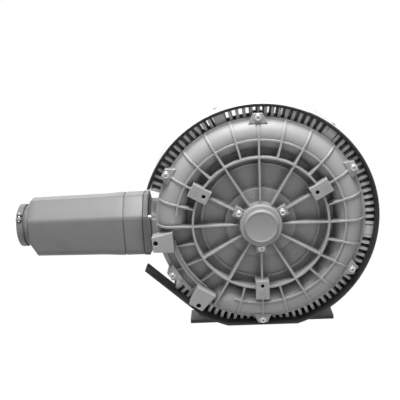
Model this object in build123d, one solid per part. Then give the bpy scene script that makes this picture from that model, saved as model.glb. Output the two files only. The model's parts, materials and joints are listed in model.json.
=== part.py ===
"""Side channel blower with a flanged motor, a cooling cowl and an outlet silencer.

Units are millimetres.  The shaft runs along Y: the ribbed cover faces -Y, the motor points to +Y,
the outlet silencer points to -X and +Z is up.  Pieces are drawn in the machine frame, which has its
origin where the shaft axis crosses the parting plane of cover and casing.  row_frame() then moves
them so that the origin is the middle of the four foot holes on the floor.
Angles are counted in degrees, anticlockwise from +X as seen from the cover side.
"""
import os
from math import cos, radians, sin, sqrt

from build123d import *

# ---------------------------------------------------------------- overall placing
SHAFT_HEIGHT = 300.0          # shaft axis above the floor
FOOT_FRONT_Y = 62.0           # front pair of foot holes, from the parting plane
FOOT_HOLE_DY = 250.0          # between the front and the rear foot holes
FOOT_HOLE_DX = 330.0          # between the left and the right foot holes
FOOT_HOLE_R = 7.0
FIT = 0.02                    # radial clearance of seats that stand still together
RUN = 0.05                    # radial clearance of a running seat
SEAT = 0.3                    # gap where sheet lies against a casting

# ---------------------------------------------------------------- side channel and impeller
CHANNEL_CENTRE_R = 224.0
CHANNEL_R = 31.0
CHANNEL_WALL = 7.0
CHANNEL_START = 176.0         # centre of the rounded end on the left
CHANNEL_SPAN = 291.0          # clockwise from there to the rounded end below
IMPELLER_R = 254.5
IMPELLER_W = 40.0
IMPELLER_GAP = 0.5            # axial running gap on each side
IMPELLER_RIM_GAP = 1.5
SEAL_GROOVE_R = IMPELLER_R + 5.75
SEAL_GROOVE_W = 3.5
SEAL_GROOVE_DEPTH = 2.4
VANE_COUNT = 52
VANE_T = 3.0
VANE_INNER_R = 194.0
VANE_WEB_T = 6.0
IMPELLER_DISC_T = 12.0
IMPELLER_HUB_R = 48.0
IMPELLER_HUB_W = 61.5

# ---------------------------------------------------------------- cover
FLANGE_R = IMPELLER_R + 11.5
FLANGE_T = 12.0
WEB_T = 10.0                  # dished web inside the step ring
VALLEY_T = 7.0                # thin wall between the step ring and the channel bulge
STEP_RING_R = 150.0
PLATEAU_R = 89.0
PLATEAU_T = 22.5
RIB_T = 4.6
RIB_PROUD = 3.0               # ribs above the channel bulge
RIB_COUNT = 12
RING_A_R = 170.7
RING_A_T = 5.2
RING_A_Y = 44.7
RING_B_R = 213.4
RING_B_Y = 40.8
HUB_BOSS_R = 55.0
HUB_BOSS_Y = 36.0
HUB_SCREW_R = 62.0
HUB_LUG = 26.0
SCREW_RING_R = FLANGE_R + 1.0
SCREW_COUNT = 6
EAR_TOP_R = FLANGE_R + 10.3
EAR_BASE_R = FLANGE_R - 14.0
EAR_BASE_W = 46.0
EAR_TOP_W = 24.0
EAR_Y = 28.0
PAD_RADIAL = 50.0
PAD_WIDTH = 34.0
PAD_CENTRE_R = 173.0
PAD_Y = 55.0
PAD_HOLE_R = 161.6            # pitch radius of the three tapped holes
M12_TAP_R = 5.1
BRACKET_PAD_Y = 51.0
BRACKET_HOLE_PITCH_R = FLANGE_R + 3.5
BRACKET_HOLE_SPREAD = 21.9    # to each side of the stripper's middle
BRACKET_HOLE_R = 6.5
BRACKET_PAD_T = 36.0
STRIPPER_MID = 210.0
STRIPPER_RIB_IN = 222.0
STRIPPER_RIB_OUT = 235.0
STRIPPER_RIB_Y = 22.0

# ---------------------------------------------------------------- casing
CASING_R = FLANGE_R - 1.0
CASING_WEB_T = 14.5
FIN_COUNT = 100
FIN_T = 7.7
FIN_TIP_R = CASING_R + 25.8
FIN_DEPTH = 74.0
FIN_FIRST = 219.0             # first fin after the lower left gap
FIN_SWEEP = 304.0             # degrees that carry fins
BOSS_ANGLES = (110.0, 50.0, -8.0)
BOSS_W = 24.0
BOSS_DEPTH = 62.0
PEDESTAL_R = 160.0
PEDESTAL_BORE_R = 120.0
PEDESTAL_Y = 90.0
CASING_HUB_R = 70.0
CASING_HUB_Y = 84.0
REAR_RIB_COUNT = 12
REAR_RIB_T = 6.0
LUG_X = 110.0
LUG_W = 50.0
LUG_Y0 = 42.0
LUG_Y1 = 82.0

# ---------------------------------------------------------------- cowl band
COWL_R = FIN_TIP_R + 9.2
COWL_T = 3.0
LINER_T = 5.5
COWL_FRONT_Y = -21.0
COWL_REAR_Y = 181.0
COWL_FLOOR = SHAFT_HEIGHT - 14.5  # flat underside, below the shaft axis and clear of the feet
WING_DIST = COWL_R - 3.7      # straight lower left sheet, from the shaft axis
WING_ANGLE = 227.1            # direction of its normal
WING_REACH = 139.4            # free end, measured along the sheet
WING_DEPTH = 40.0
COWL_OPEN_FROM = 161.0
COWL_OPEN_TO = 218.1

# ---------------------------------------------------------------- outlet silencer
SIL_FACE_X = -COWL_R          # joint face of the casing's outlet neck
SIL_GASKET_T = 2.0
SIL_SEAM_X = SIL_FACE_X - 52.0
SIL_END_X = SIL_SEAM_X - 238.0
SIL_PORT_X = SIL_END_X - 46.0
SIL_Y = 64.0                  # middle of the silencer
SIL_Z = -10.0
SIL_W = 140.0
SIL_H = 154.0
SIL_CHAMFER = 47.0
SIL_CHAMFER_LOW = 12.0
SIL_TAPER = 0.93
SIL_WALL = 6.0
PORT_FLANGE_R = 57.0
PORT_FLANGE_T = 24.0
PORT_NECK_R = 50.0
PORT_R = 42.5                 # thread bore of a G3 port
TUBE_R = 44.0                 # perforated tube, inside
TUBE_T = 1.5
NECK_FLANGE_T = 12.0
NECK_SCALE = 0.74
NECK_DUCT_R = 42.0
NECK_THROAT_R = 22.0
NECK_THROAT_Y = 54.0
NECK_FRONT_Y = -14.0

# ---------------------------------------------------------------- inlet port on the back
INLET_ANGLE = 240.0
INLET_BOSS_R = 62.0
INLET_BOSS_Y = 96.0
INLET_THROAT_R = 28.0
INLET_FLANGE_T = 30.0
INLET_GASKET_T = 2.0

# ---------------------------------------------------------------- shaft, bearings, seals
BEARING_BORE_R = 25.0
BEARING_OD_R = 45.0
BEARING_W = 20.0
BEARING_PITCH_R = 35.0
BALL_R = 6.35
BALL_COUNT = 9
RACE_SHOULDER = 4.6           # race shoulders, each side of the ball pitch circle
FRONT_BEARING_Y = -34.0
REAR_BEARING_Y = 325.0
SPACER_R = 30.0
SEAL_R = 40.0
SEAL_W = 8.0
SEAL_Y = -12.0
IMPELLER_SEAT_R = 27.5
CORE_SEAT_R = 34.0
REAR_SEAL_R = 46.0
REAR_SEAL_Y = 68.0
FAN_SEAT_R = 19.0
SHAFT_END_Y = 388.0
SHAFT_NOSE_Y = -46.0
KEY_W = 16.0
KEY_H = 10.0
KEY_L = 45.0

# ---------------------------------------------------------------- motor
FRAME_R = 125.0
FRAME_T = 8.0
FRAME_END_Y = 330.0
MOTOR_FLANGE_T = 14.0
MOTOR_BOLT_R = 148.0
MOTOR_BOLT_COUNT = 8
MOTOR_FIN_R = 144.0
MOTOR_FIN_T = 4.0
MOTOR_FIN_COUNT = 32
STATOR_BORE_R = 78.0
AIR_GAP = 0.8
CORE_Y0 = 142.0
CORE_Y1 = 292.0
WINDING_L = 26.0
WINDING_IN_R = 84.0
WINDING_OUT_R = 112.0
END_RING_L = 10.0
SHIELD_T = 12.0
FAN_Y = 352.0
FAN_W = 30.0
FAN_R = 112.0
FAN_BLADES = 7
FAN_COWL_R = 146.0
FAN_COWL_T = 2.0
FAN_COWL_Y0 = 318.0
FAN_COWL_Y1 = 428.0
GRILLE_SLOTS = 24

# ---------------------------------------------------------------- terminal box
TBOX_Y = 215.0
TBOX_W = 130.0
TBOX_L = 120.0
TBOX_FLOOR_Z = 132.0
TBOX_H = 58.0
TBOX_T = 5.0
TBOX_LID_T = 12.0
TBOX_GASKET_T = 2.0
GLAND_R = 13.0
GLAND_L = 26.0
GLAND_DY = 27.0

# ---------------------------------------------------------------- feet
PLATE_T = 10.0
CROSS_W = 64.0
CROSS_L = 390.0
SPINE_W = 110.0
SADDLE_T = 10.0
SADDLE_SCREW_X = 33.0         # screws up into the motor pad, clear of the gussets
SADDLE_SCREW_DY = 25.0        # in front of the rear foot holes


def front_plane(y):
    """Plane at y whose sketch is drawn as seen from the cover side: x to the right, z up."""
    return Plane(origin=(0, y, 0), x_dir=(1, 0, 0), z_dir=(0, -1, 0))


def side_plane(x):
    """Plane at x whose sketch has y to the right and z up, with its normal along +X."""
    return Plane(origin=(x, 0, 0), x_dir=(0, 1, 0), z_dir=(1, 0, 0))


def prism(sketch, y_front, y_back):
    """Extrude a sketch drawn as seen from the cover side between two stations on the shaft."""
    return extrude(front_plane(y_back) * sketch, amount=y_back - y_front)


def side_prism(sketch, x0, x1):
    """Extrude a (y, z) sketch from x0 to x1."""
    return extrude(side_plane(x0) * sketch, amount=x1 - x0)


def ring(r_out, r_in, y_front, y_back):
    """Plain ring, or a disc where r_in is 0, about the shaft axis."""
    shape = Circle(r_out) - Circle(r_in) if r_in else Circle(r_out)
    return prism(shape, y_front, y_back)


def turned(part, angle):
    """Turn a piece about the shaft axis, anticlockwise from the cover side."""
    return Rot(0, -angle, 0) * part


def polar(r, angle):
    """Point at a radius and an angle, as (x, z)."""
    return (r * cos(radians(angle)), r * sin(radians(angle)))


def box(x0, x1, y0, y1, z0, z1):
    """Box between six faces."""
    middle = ((x0 + x1) / 2, (y0 + y1) / 2, (z0 + z1) / 2)
    return Pos(*middle) * Box(x1 - x0, y1 - y0, z1 - z0)


def radial_bar(r0, r1, width, y_front, y_back, angle):
    """Bar along a radius, such as a fin, a rib or a vane."""
    return turned(box(r0, r1, y_front, y_back, -width / 2, width / 2), angle)


def spun(points, close=True):
    """Revolve a polygon of (r, y) points about the shaft axis."""
    return revolve(make_face(Polyline(*points, close=close)), Axis.Y, 360)


def sector(r_out, r_in, y_front, y_back, angle_from, angle_to):
    """Part of a ring, from one angle anticlockwise to another."""
    profile = Pos((r_out + r_in) / 2, (y_front + y_back) / 2) * Rectangle(r_out - r_in, y_back - y_front)
    return turned(revolve(profile, Axis.Y, angle_to - angle_from), angle_to)


def axial_hole(r, pitch_r, angle, y_front, y_back):
    """Cylinder along the shaft direction at a place on a pitch circle."""
    x, z = polar(pitch_r, angle)
    return prism(Pos(x, z) * Circle(r), y_front, y_back)


def around(count, first=0.0, sweep=360.0):
    """Angles of an even pattern."""
    return [first + i * sweep / count for i in range(count)]


def group(solids):
    """One node that holds separate solids."""
    return Compound(children=list(solids))


# ---------------------------------------------------------------- side channel volume
def channel_half(radius, facing, centre_y=0.0):
    """Half of the side channel's volume, with rounded ends, on one side of a plane.

    facing is -1 for the cover's half and +1 for the casing's half.
    """
    r0, r1 = CHANNEL_CENTRE_R - radius, CHANNEL_CENTRE_R + radius
    crest = (CHANNEL_CENTRE_R, centre_y + facing * radius)
    outline = ThreePointArc((r0, centre_y), crest, (r1, centre_y)) + Line((r1, centre_y), (r0, centre_y))
    body = turned(revolve(make_face(outline), Axis.Y, CHANNEL_SPAN), CHANNEL_START)
    ends = []
    for angle in (CHANNEL_START, CHANNEL_START - CHANNEL_SPAN):
        x, z = polar(CHANNEL_CENTRE_R, angle)
        dome = Rot(-90 * facing, 0, 0) * Sphere(radius, arc_size1=0, arc_size2=90,
                                               align=(Align.CENTER, Align.CENTER, Align.MIN))
        ends.append(Pos(x, centre_y, z) * dome)
    return body + ends


# ---------------------------------------------------------------- cover
def rib_sketch(inner_r, over_channel):
    """Outline of one cover rib as (r, y), from the hub or ring A out to the flange."""
    root = -4.0
    inner_top = -(HUB_BOSS_Y + 4.0) if inner_r < RING_A_R - 1 else -RING_A_Y
    if over_channel:
        top_r = CHANNEL_R + CHANNEL_WALL + RIB_PROUD
        end_r = CHANNEL_CENTRE_R + sqrt(top_r ** 2 - FLANGE_T ** 2)
        mid = radians(50)
        arc_mid = (CHANNEL_CENTRE_R + top_r * cos(mid), -top_r * sin(mid))
        lines = [Polyline((inner_r, root), (inner_r, inner_top), (RING_A_R, -RING_A_Y),
                          (CHANNEL_CENTRE_R, -top_r)),
                 ThreePointArc((CHANNEL_CENTRE_R, -top_r), arc_mid, (end_r, -FLANGE_T)),
                 Polyline((end_r, -FLANGE_T), (end_r, root), (inner_r, root))]
        return make_face(lines)
    low = -(FLANGE_T + 2.0)
    points = [(inner_r, root), (inner_r, inner_top), (RING_A_R, -RING_A_Y),
              (STRIPPER_RIB_IN, -STRIPPER_RIB_Y), (FLANGE_R - 4, low), (FLANGE_R - 4, root)]
    return make_face(Polyline(*points, close=True))


def cover_rib(angle, inner_r):
    """One radial rib of the cover."""
    middle = (angle - STRIPPER_MID + 180) % 360 - 180
    over_channel = abs(middle) > 28
    return turned(extrude(rib_sketch(inner_r, over_channel), RIB_T / 2, both=True), angle)


def cover_ear(y_front, y_back, angle):
    """Trapezoid lug under a cover screw."""
    half_base, half_top = EAR_BASE_W / 2, EAR_TOP_W / 2
    outline = Polyline((EAR_BASE_R, -half_base), (EAR_TOP_R, -half_top), (EAR_TOP_R, half_top),
                       (EAR_BASE_R, half_base), close=True)
    return turned(prism(make_face(outline), y_front, y_back), angle)


def bracket_pad(side):
    """Machined bracket pad beside the stripper; side is -1 or 1."""
    corners = ((FLANGE_R + 11.0, 25.2), (STRIPPER_RIB_IN + 1.5, 27.2), (STRIPPER_RIB_IN + 9.0, 14.0),
               (FLANGE_R + 15.0, 17.3))
    points = [polar(r, STRIPPER_MID + side * spread) for r, spread in corners]
    outline = make_face(Polyline(*points, close=True))
    front = prism(outline, -BRACKET_PAD_Y, -BRACKET_PAD_Y + BRACKET_PAD_T)
    root = prism(outline & Circle(FLANGE_R), -BRACKET_PAD_Y, -2.0)
    hole = axial_hole(BRACKET_HOLE_R, BRACKET_HOLE_PITCH_R, STRIPPER_MID + side * BRACKET_HOLE_SPREAD,
                      -BRACKET_PAD_Y, -BRACKET_PAD_Y + BRACKET_PAD_T)
    return front + root, hole


def make_cover():
    """Ribbed front cover with its half of the side channel and the front bearing seat."""
    plate = spun([(0, 0), (0, -PLATEAU_T), (PLATEAU_R, -PLATEAU_T), (PLATEAU_R + 4, -WEB_T),
                  (STEP_RING_R - 3, -WEB_T), (STEP_RING_R, -VALLEY_T),
                  (CHANNEL_CENTRE_R + CHANNEL_R, -VALLEY_T), (CHANNEL_CENTRE_R + CHANNEL_R, -FLANGE_T),
                  (FLANGE_R, -FLANGE_T), (FLANGE_R, 0)])
    extras = [channel_half(CHANNEL_R + CHANNEL_WALL, -1),
              ring(HUB_BOSS_R, 0, -HUB_BOSS_Y, -PLATEAU_T + 1),
              ring(STEP_RING_R + 2, STEP_RING_R - 3, -WEB_T - 4, -2),
              ring(RING_A_R + RING_A_T / 2, RING_A_R - RING_A_T / 2, -RING_A_Y, -4),
              sector(RING_B_R + RIB_T / 2, RING_B_R - RIB_T / 2, -RING_B_Y, -30, -110, 172),
              sector(STRIPPER_RIB_OUT, STRIPPER_RIB_IN, -STRIPPER_RIB_Y, -4,
                     STRIPPER_MID - 20, STRIPPER_MID + 20)]
    for angle in around(RIB_COUNT):
        over_lug = min(abs((angle - lug + 180) % 360 - 180) for lug in around(3, 30)) < 1
        extras.append(cover_rib(angle, HUB_SCREW_R + HUB_LUG / 2 + 1 if over_lug else HUB_BOSS_R - 1))
        extras.append(cover_rib(angle + 180 / RIB_COUNT, RING_A_R - 1))
    for angle in around(SCREW_COUNT, 30):
        extras.append(cover_ear(-EAR_Y, 0, angle))
    for angle in around(3, 30):
        r0, r1 = PAD_CENTRE_R - PAD_RADIAL / 2, PAD_CENTRE_R + PAD_RADIAL / 2
        extras.append(radial_bar(r0, r1, PAD_WIDTH, -PAD_Y, -4, angle))
        lug_r = HUB_SCREW_R + HUB_LUG / 2 + 2
        extras.append(radial_bar(HUB_BOSS_R - 6, lug_r, HUB_LUG, -HUB_BOSS_Y, -PLATEAU_T + 1, angle))
    cuts = [channel_half(CHANNEL_R, -1),
            ring(BEARING_OD_R + FIT, 0, -HUB_BOSS_Y, FRONT_BEARING_Y + BEARING_W),
            ring(SEAL_R + FIT, 0, -HUB_BOSS_Y, SEAL_Y + SEAL_W),
            ring(SPACER_R + 1.5, 0, -HUB_BOSS_Y, 1)]
    for side in (-1, 1):
        pad, hole = bracket_pad(side)
        extras.append(pad)
        cuts.append(hole)
    for angle in around(SCREW_COUNT, 30):
        cuts.append(axial_hole(4.5, SCREW_RING_R, angle, -EAR_Y, 0))
    for angle in around(3, 30):
        cuts.append(axial_hole(M12_TAP_R, PAD_HOLE_R, angle, -PAD_Y, -PAD_Y + 28))
        cuts.append(axial_hole(4.0 + FIT, HUB_SCREW_R, angle, -HUB_BOSS_Y, -HUB_BOSS_Y + 22))
    return plate + extras - cuts


def make_bearing_cap():
    """Cap over the front bearing: flange with three square ears, raised ring and plain disc."""
    cap = ring(53, 0, -58, -HUB_BOSS_Y) + ring(41, 0, -65.7, -50)
    for angle in around(3, 30):
        cap += radial_bar(30, HUB_SCREW_R + HUB_LUG / 2, HUB_LUG, -HUB_BOSS_Y - 8, -HUB_BOSS_Y, angle)
    cap += ring(BEARING_OD_R - 0.2, 0, -HUB_BOSS_Y - 1, FRONT_BEARING_Y)
    cap -= ring(38, 0, -54, FRONT_BEARING_Y)
    for angle in around(3, 30):
        cap -= axial_hole(4.5, HUB_SCREW_R, angle, -HUB_BOSS_Y - 8, -HUB_BOSS_Y)
    return cap


def screw(head_r, head_h, shank_r, length, hexagon=False):
    """Screw along +Y: the head's seat is at y 0 and the head stands towards -Y."""
    head = RegularPolygon(head_r, 6) if hexagon else Circle(head_r)
    body = prism(head, -head_h, 0) + prism(Circle(shank_r), -0.5, length)
    socket = RegularPolygon(head_r * 0.52, 6)
    return body if hexagon else body - prism(socket, -head_h, -head_h * 0.45)


def screws_on_circle(item, pitch_r, angles, y):
    """Copies of a screw on a pitch circle."""
    solids = []
    for angle in angles:
        x, z = polar(pitch_r, angle)
        solids.append(Pos(x, y, z) * item)
    return group(solids)


# ---------------------------------------------------------------- casing
def cowl_inside(inset):
    """Area inside the cowl band, drawn from the cover side, inset from its outer surface."""
    reach = COWL_R - inset
    area = Circle(reach)
    floor = COWL_FLOOR - inset
    area -= Pos(0, -floor - reach / 2) * Rectangle(3 * reach, reach)
    x, z = polar(WING_DIST - inset + reach / 2, WING_ANGLE)
    area -= Pos(x, z) * Rot(0, 0, WING_ANGLE) * Rectangle(reach, 3 * reach)
    return area


def silencer_section(scale=1.0):
    """Section of the silencer as (y, z): vertical sides with large upper chamfers."""
    w, top, low = SIL_W / 2, SIL_CHAMFER, SIL_CHAMFER_LOW
    h = SIL_H / 2
    points = [(-w, -h + low), (-w + low, -h), (w - low, -h), (w, -h + low),
              (w, h - top), (w - top, h), (-w + top, h), (-w, h - top)]
    points = [(SIL_Y + scale * y, SIL_Z + scale * z) for y, z in points]
    return make_face(Polyline(*points, close=True))


def duct_sketch(radius):
    """Circle on the silencer's axis, as (y, z)."""
    return Pos(SIL_Y, SIL_Z) * Circle(radius)


def silencer_bolt_places():
    """Places of the four screws between neck and silencer, as (y, z)."""
    dy, dz = SIL_W / 2 - 13, SIL_H / 2 - SIL_CHAMFER - 6
    low = SIL_H / 2 - SIL_CHAMFER_LOW - 8
    return [(SIL_Y - dy, SIL_Z + dz), (SIL_Y + dy, SIL_Z + dz),
            (SIL_Y - dy, SIL_Z - low), (SIL_Y + dy, SIL_Z - low)]


def outlet_neck():
    """Cast outlet neck on the left of the casing, with its joint flange."""
    flange = side_prism(silencer_section(), SIL_FACE_X, SIL_FACE_X + NECK_FLANGE_T)
    neck = side_prism(silencer_section(NECK_SCALE), SIL_FACE_X, SIL_FACE_X + 75)
    front = box(SIL_FACE_X, SIL_FACE_X + 19, NECK_FRONT_Y, 20, SIL_Z - 62, SIL_Z + 28)
    return neck + flange + front


def casing_lugs():
    """Two cast lugs that stand on the foot frame."""
    lugs = []
    for side in (-1, 1):
        x = side * LUG_X
        lugs.append(box(x - LUG_W / 2, x + LUG_W / 2, LUG_Y0, LUG_Y1, PLATE_T - SHAFT_HEIGHT, -225))
    return lugs


def rear_rib(angle):
    """Rib on the back of the casing between the motor pedestal and the rim."""
    back = IMPELLER_GAP * 2 + IMPELLER_W + CASING_WEB_T
    points = [(PEDESTAL_R - 4, back - 6), (PEDESTAL_R - 4, PEDESTAL_Y - 6), (CHANNEL_CENTRE_R - 12, back + 26),
              (CASING_R - 4, back - 2), (CASING_R - 4, back - 16)]
    sketch = make_face(Polyline(*points, close=True))
    return turned(extrude(sketch, REAR_RIB_T / 2, both=True), angle)


def make_casing():
    """Rear casing: impeller room, rear half of the channel, fins, outlet neck and inlet boss."""
    room = IMPELLER_W + 2 * IMPELLER_GAP
    web_back = room + CASING_WEB_T
    body = ring(CASING_R, 0, 0, web_back)
    fin_zone = prism(cowl_inside(COWL_T + LINER_T + 0.7), 0, FIN_DEPTH)
    pitch = 360 / FIN_COUNT
    fins = [radial_bar(CASING_R - 3, FIN_TIP_R, FIN_T, 0, FIN_DEPTH, FIN_FIRST + i * pitch)
            for i in range(int(FIN_SWEEP / pitch) + 1)]
    extras = list((group(fins) & fin_zone).solids())
    extras.append(channel_half(CHANNEL_R + CHANNEL_WALL, 1, room))
    extras.append(ring(CASING_HUB_R, 0, web_back - 1, CASING_HUB_Y))
    extras.append(ring(PEDESTAL_R, PEDESTAL_BORE_R, web_back - 2, PEDESTAL_Y))
    extras.append(ring(CASING_R + 1, CHANNEL_CENTRE_R + CHANNEL_R, web_back - 1, FIN_DEPTH - 8))
    for angle in BOSS_ANGLES:
        top = COWL_R - COWL_T - LINER_T - SEAT
        extras.append(radial_bar(CASING_R - 3, top, BOSS_W, 0, BOSS_DEPTH, angle))
    for angle in around(SCREW_COUNT, 30):
        extras.append(cover_ear(0, 34, angle))
    for angle in around(REAR_RIB_COUNT, 15):
        extras.append(rear_rib(angle))
    x, z = polar(CHANNEL_CENTRE_R, INLET_ANGLE)
    extras.append(prism(Pos(x, z) * Circle(INLET_BOSS_R), web_back - 3, INLET_BOSS_Y))
    extras.append(outlet_neck())
    extras += casing_lugs()
    cuts = [ring(IMPELLER_R + IMPELLER_RIM_GAP, 0, -1, room),
            channel_half(CHANNEL_R, 1, room),
            ring(IMPELLER_HUB_R + 5, 0, room - 1, IMPELLER_HUB_W + 3),
            ring(CORE_SEAT_R + 1.5, 0, room, CASING_HUB_Y),
            ring(REAR_SEAL_R + FIT, 0, REAR_SEAL_Y, CASING_HUB_Y),
            ring(SEAL_GROOVE_R + SEAL_GROOVE_W / 2, SEAL_GROOVE_R - SEAL_GROOVE_W / 2, 0, SEAL_GROOVE_DEPTH),
            side_prism(duct_sketch(NECK_DUCT_R), SIL_FACE_X, SIL_FACE_X + 36),
            side_prism(Pos(NECK_THROAT_Y, SIL_Z) * Circle(NECK_THROAT_R), SIL_FACE_X + 34, SIL_FACE_X + 85),
            prism(Pos(x, z) * Circle(INLET_THROAT_R), room, INLET_BOSS_Y)]
    for angle in around(SCREW_COUNT, 30):
        cuts.append(axial_hole(4.0 + FIT, SCREW_RING_R, angle, 0, 26))
    for angle in around(MOTOR_BOLT_COUNT, 22.5):
        cuts.append(axial_hole(5.0 + FIT, MOTOR_BOLT_R, angle, PEDESTAL_Y - 26, PEDESTAL_Y))
    for y, z_hole in silencer_bolt_places():
        cuts.append(side_prism(Pos(y, z_hole) * Circle(5.5), SIL_FACE_X, SIL_FACE_X + NECK_FLANGE_T))
        cuts.append(side_prism(Pos(y, z_hole) * Circle(9.5), SIL_FACE_X + NECK_FLANGE_T, SIL_FACE_X + 38))
    for angle in BOSS_ANGLES:
        cuts.append(cowl_screw_place(angle) * prism(Circle(3 + FIT), 0, 27))
    for angle in around(4, 45):
        cuts.append(inlet_hole(4.0 + FIT, INLET_BOSS_Y - 20, INLET_BOSS_Y, angle))
    for side in (-1, 1):
        hole = Pos(side * LUG_X, (LUG_Y0 + LUG_Y1) / 2, PLATE_T - SHAFT_HEIGHT + 12) * Cylinder(6 + FIT, 24)
        cuts.append(hole)
    return body + extras - cuts


def inlet_hole(radius, y0, y1, angle):
    """Hole or screw place on the inlet flange's own pitch circle."""
    x, z = polar(CHANNEL_CENTRE_R, INLET_ANGLE)
    dx, dz = polar(INLET_BOSS_R - 8.0, angle)
    return prism(Pos(x + dx, z + dz) * Circle(radius), y0, y1)


# ---------------------------------------------------------------- cowl band
def sheet_ring(outer_inset, inner_inset, y_front, y_back):
    """Closed sheet that follows the cowl outline, open on the left, with the straight wing."""
    shell = prism(cowl_inside(outer_inset) - cowl_inside(inner_inset), y_front, y_back)
    opening = [(0, 0)] + [polar(2 * COWL_R, a) for a in (COWL_OPEN_FROM, 190.0, COWL_OPEN_TO)]
    shell -= prism(make_face(Polyline(*opening, close=True)), y_front - 1, y_back + 1)
    root = sqrt(COWL_R ** 2 - WING_DIST ** 2) - 2
    strip = Pos((WING_DIST - outer_inset + WING_DIST - inner_inset) / 2, -(root + WING_REACH) / 2)
    strip = Rot(0, 0, WING_ANGLE) * strip * Rectangle(inner_inset - outer_inset, WING_REACH - root)
    return shell + prism(strip, y_front, y_front + WING_DEPTH)


def lug_slots(clearance):
    """Slots in the cowl through which the casing's lugs pass."""
    slots = []
    for side in (-1, 1):
        x = side * LUG_X
        slots.append(box(x - LUG_W / 2 - clearance, x + LUG_W / 2 + clearance,
                         LUG_Y0 - clearance, LUG_Y1 + clearance, -SHAFT_HEIGHT, -240))
    return slots


def cowl_screw_place(angle):
    """Location that turns a +Y screw so that it points at the shaft from the cowl's outside."""
    return Rot(0, -angle, 0) * Pos(COWL_R, BOSS_DEPTH - 14, 0) * Rot(0, 0, 90)


def make_cowl():
    """Painted sheet band round the casing, and the black lining on its inside."""
    holes = [cowl_screw_place(a) * prism(Circle(3.3), -5, 14) for a in BOSS_ANGLES]
    band = sheet_ring(0, COWL_T, COWL_FRONT_Y, COWL_REAR_Y) - lug_slots(4) - holes
    liner = sheet_ring(COWL_T, COWL_T + LINER_T, COWL_FRONT_Y + 1.5, COWL_REAR_Y - 1.5)
    liner = liner - lug_slots(2) - holes
    return band, liner


# ---------------------------------------------------------------- silencer and ports
def port_flange(depth, flange_t, neck_r):
    """Round threaded port flange that points to -Y, with its seat at y 0."""
    body = ring(PORT_FLANGE_R, 0, -depth, -depth + flange_t) + ring(neck_r, 0, -depth, 0)
    return body - ring(PORT_R, 0, -depth, 0)


def make_silencer():
    """Collar, tapered body, lining, perforated tube and port flange of the outlet silencer."""
    inner = (SIL_W / 2 - SIL_WALL) / (SIL_W / 2)
    tube_r = TUBE_R + TUBE_T
    joint_x = SIL_FACE_X - SIL_GASKET_T
    gasket = side_prism(silencer_section() - duct_sketch(NECK_DUCT_R), joint_x, SIL_FACE_X)
    collar = side_prism(silencer_section(), SIL_SEAM_X, joint_x)
    collar -= side_prism(duct_sketch(tube_r + FIT), SIL_SEAM_X, joint_x - 4)
    collar -= side_prism(duct_sketch(NECK_DUCT_R), joint_x - 4, joint_x)
    for y, z in silencer_bolt_places():
        collar -= side_prism(Pos(y, z) * Circle(5 + FIT), joint_x - 26, joint_x)
        gasket -= side_prism(Pos(y, z) * Circle(5.5), joint_x, SIL_FACE_X)
    outer = loft([side_plane(SIL_END_X) * silencer_section(SIL_TAPER),
                  side_plane(SIL_SEAM_X) * silencer_section()])
    x0, x1 = SIL_END_X + SIL_WALL, SIL_SEAM_X
    hollow = loft([side_plane(x0) * silencer_section(SIL_TAPER * inner),
                   side_plane(x1) * silencer_section(inner)])
    body = outer - hollow - side_prism(duct_sketch(tube_r + FIT), SIL_END_X - 1, x0 + 1)
    corner_z = SIL_Z - SIL_TAPER * SIL_H / 2
    corner = [(SIL_END_X - 1, corner_z + 19), (SIL_END_X + 13, corner_z - 1), (SIL_END_X - 1, corner_z - 1)]
    wedge = extrude(Plane.XZ * make_face(Polyline(*corner, close=True)), -(SIL_Y + SIL_W))
    body -= wedge
    tube = side_prism(duct_sketch(tube_r) - duct_sketch(TUBE_R), SIL_END_X + 0.5, joint_x - 4)
    lining = loft([side_plane(x0 + SEAT) * silencer_section(SIL_TAPER * inner - 0.004),
                   side_plane(x1) * silencer_section(inner - 0.004)])
    lining -= side_prism(duct_sketch(tube_r + SEAT), x0, x1)
    place = Pos(SIL_END_X, SIL_Y, SIL_Z) * Rot(0, 0, -90)
    port = place * port_flange(SIL_END_X - SIL_PORT_X, PORT_FLANGE_T, PORT_NECK_R)
    return {"silencer_gasket": gasket, "silencer_collar": collar, "silencer_body": body,
            "silencer_tube": tube, "silencer_lining": lining, "silencer_port_flange": port}


def make_silencer_screws():
    """Four screws that hold the silencer collar to the outlet neck."""
    item = Rot(0, 0, 90) * screw(8, 9, 5, 32)
    x = SIL_FACE_X + NECK_FLANGE_T
    return group([Pos(x, y, z) * item for y, z in silencer_bolt_places()])


def make_inlet():
    """Threaded inlet flange on the back of the casing, its gasket and its four screws."""
    x, z = polar(CHANNEL_CENTRE_R, INLET_ANGLE)
    seat = INLET_BOSS_Y + INLET_GASKET_T
    gasket = Pos(x, 0, z) * ring(INLET_BOSS_R, INLET_THROAT_R, INLET_BOSS_Y, seat)
    flange = Pos(x, 0, z) * ring(INLET_BOSS_R, PORT_R, seat, seat + INLET_FLANGE_T)
    item = Rot(180, 0, 0) * screw(6.5, 6, 4, INLET_FLANGE_T - 7 + 18)
    screws = []
    for angle in around(4, 45):
        dx, dz = polar(INLET_BOSS_R - 8.0, angle)
        gasket -= inlet_hole(4.5, INLET_BOSS_Y, seat, angle)
        flange -= inlet_hole(4.5, seat, seat + INLET_FLANGE_T, angle)
        flange -= inlet_hole(7.2, seat + INLET_FLANGE_T - 7, seat + INLET_FLANGE_T, angle)
        screws.append(Pos(x + dx, seat + INLET_FLANGE_T - 7, z + dz) * item)
    return gasket, flange, group(screws)


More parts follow.
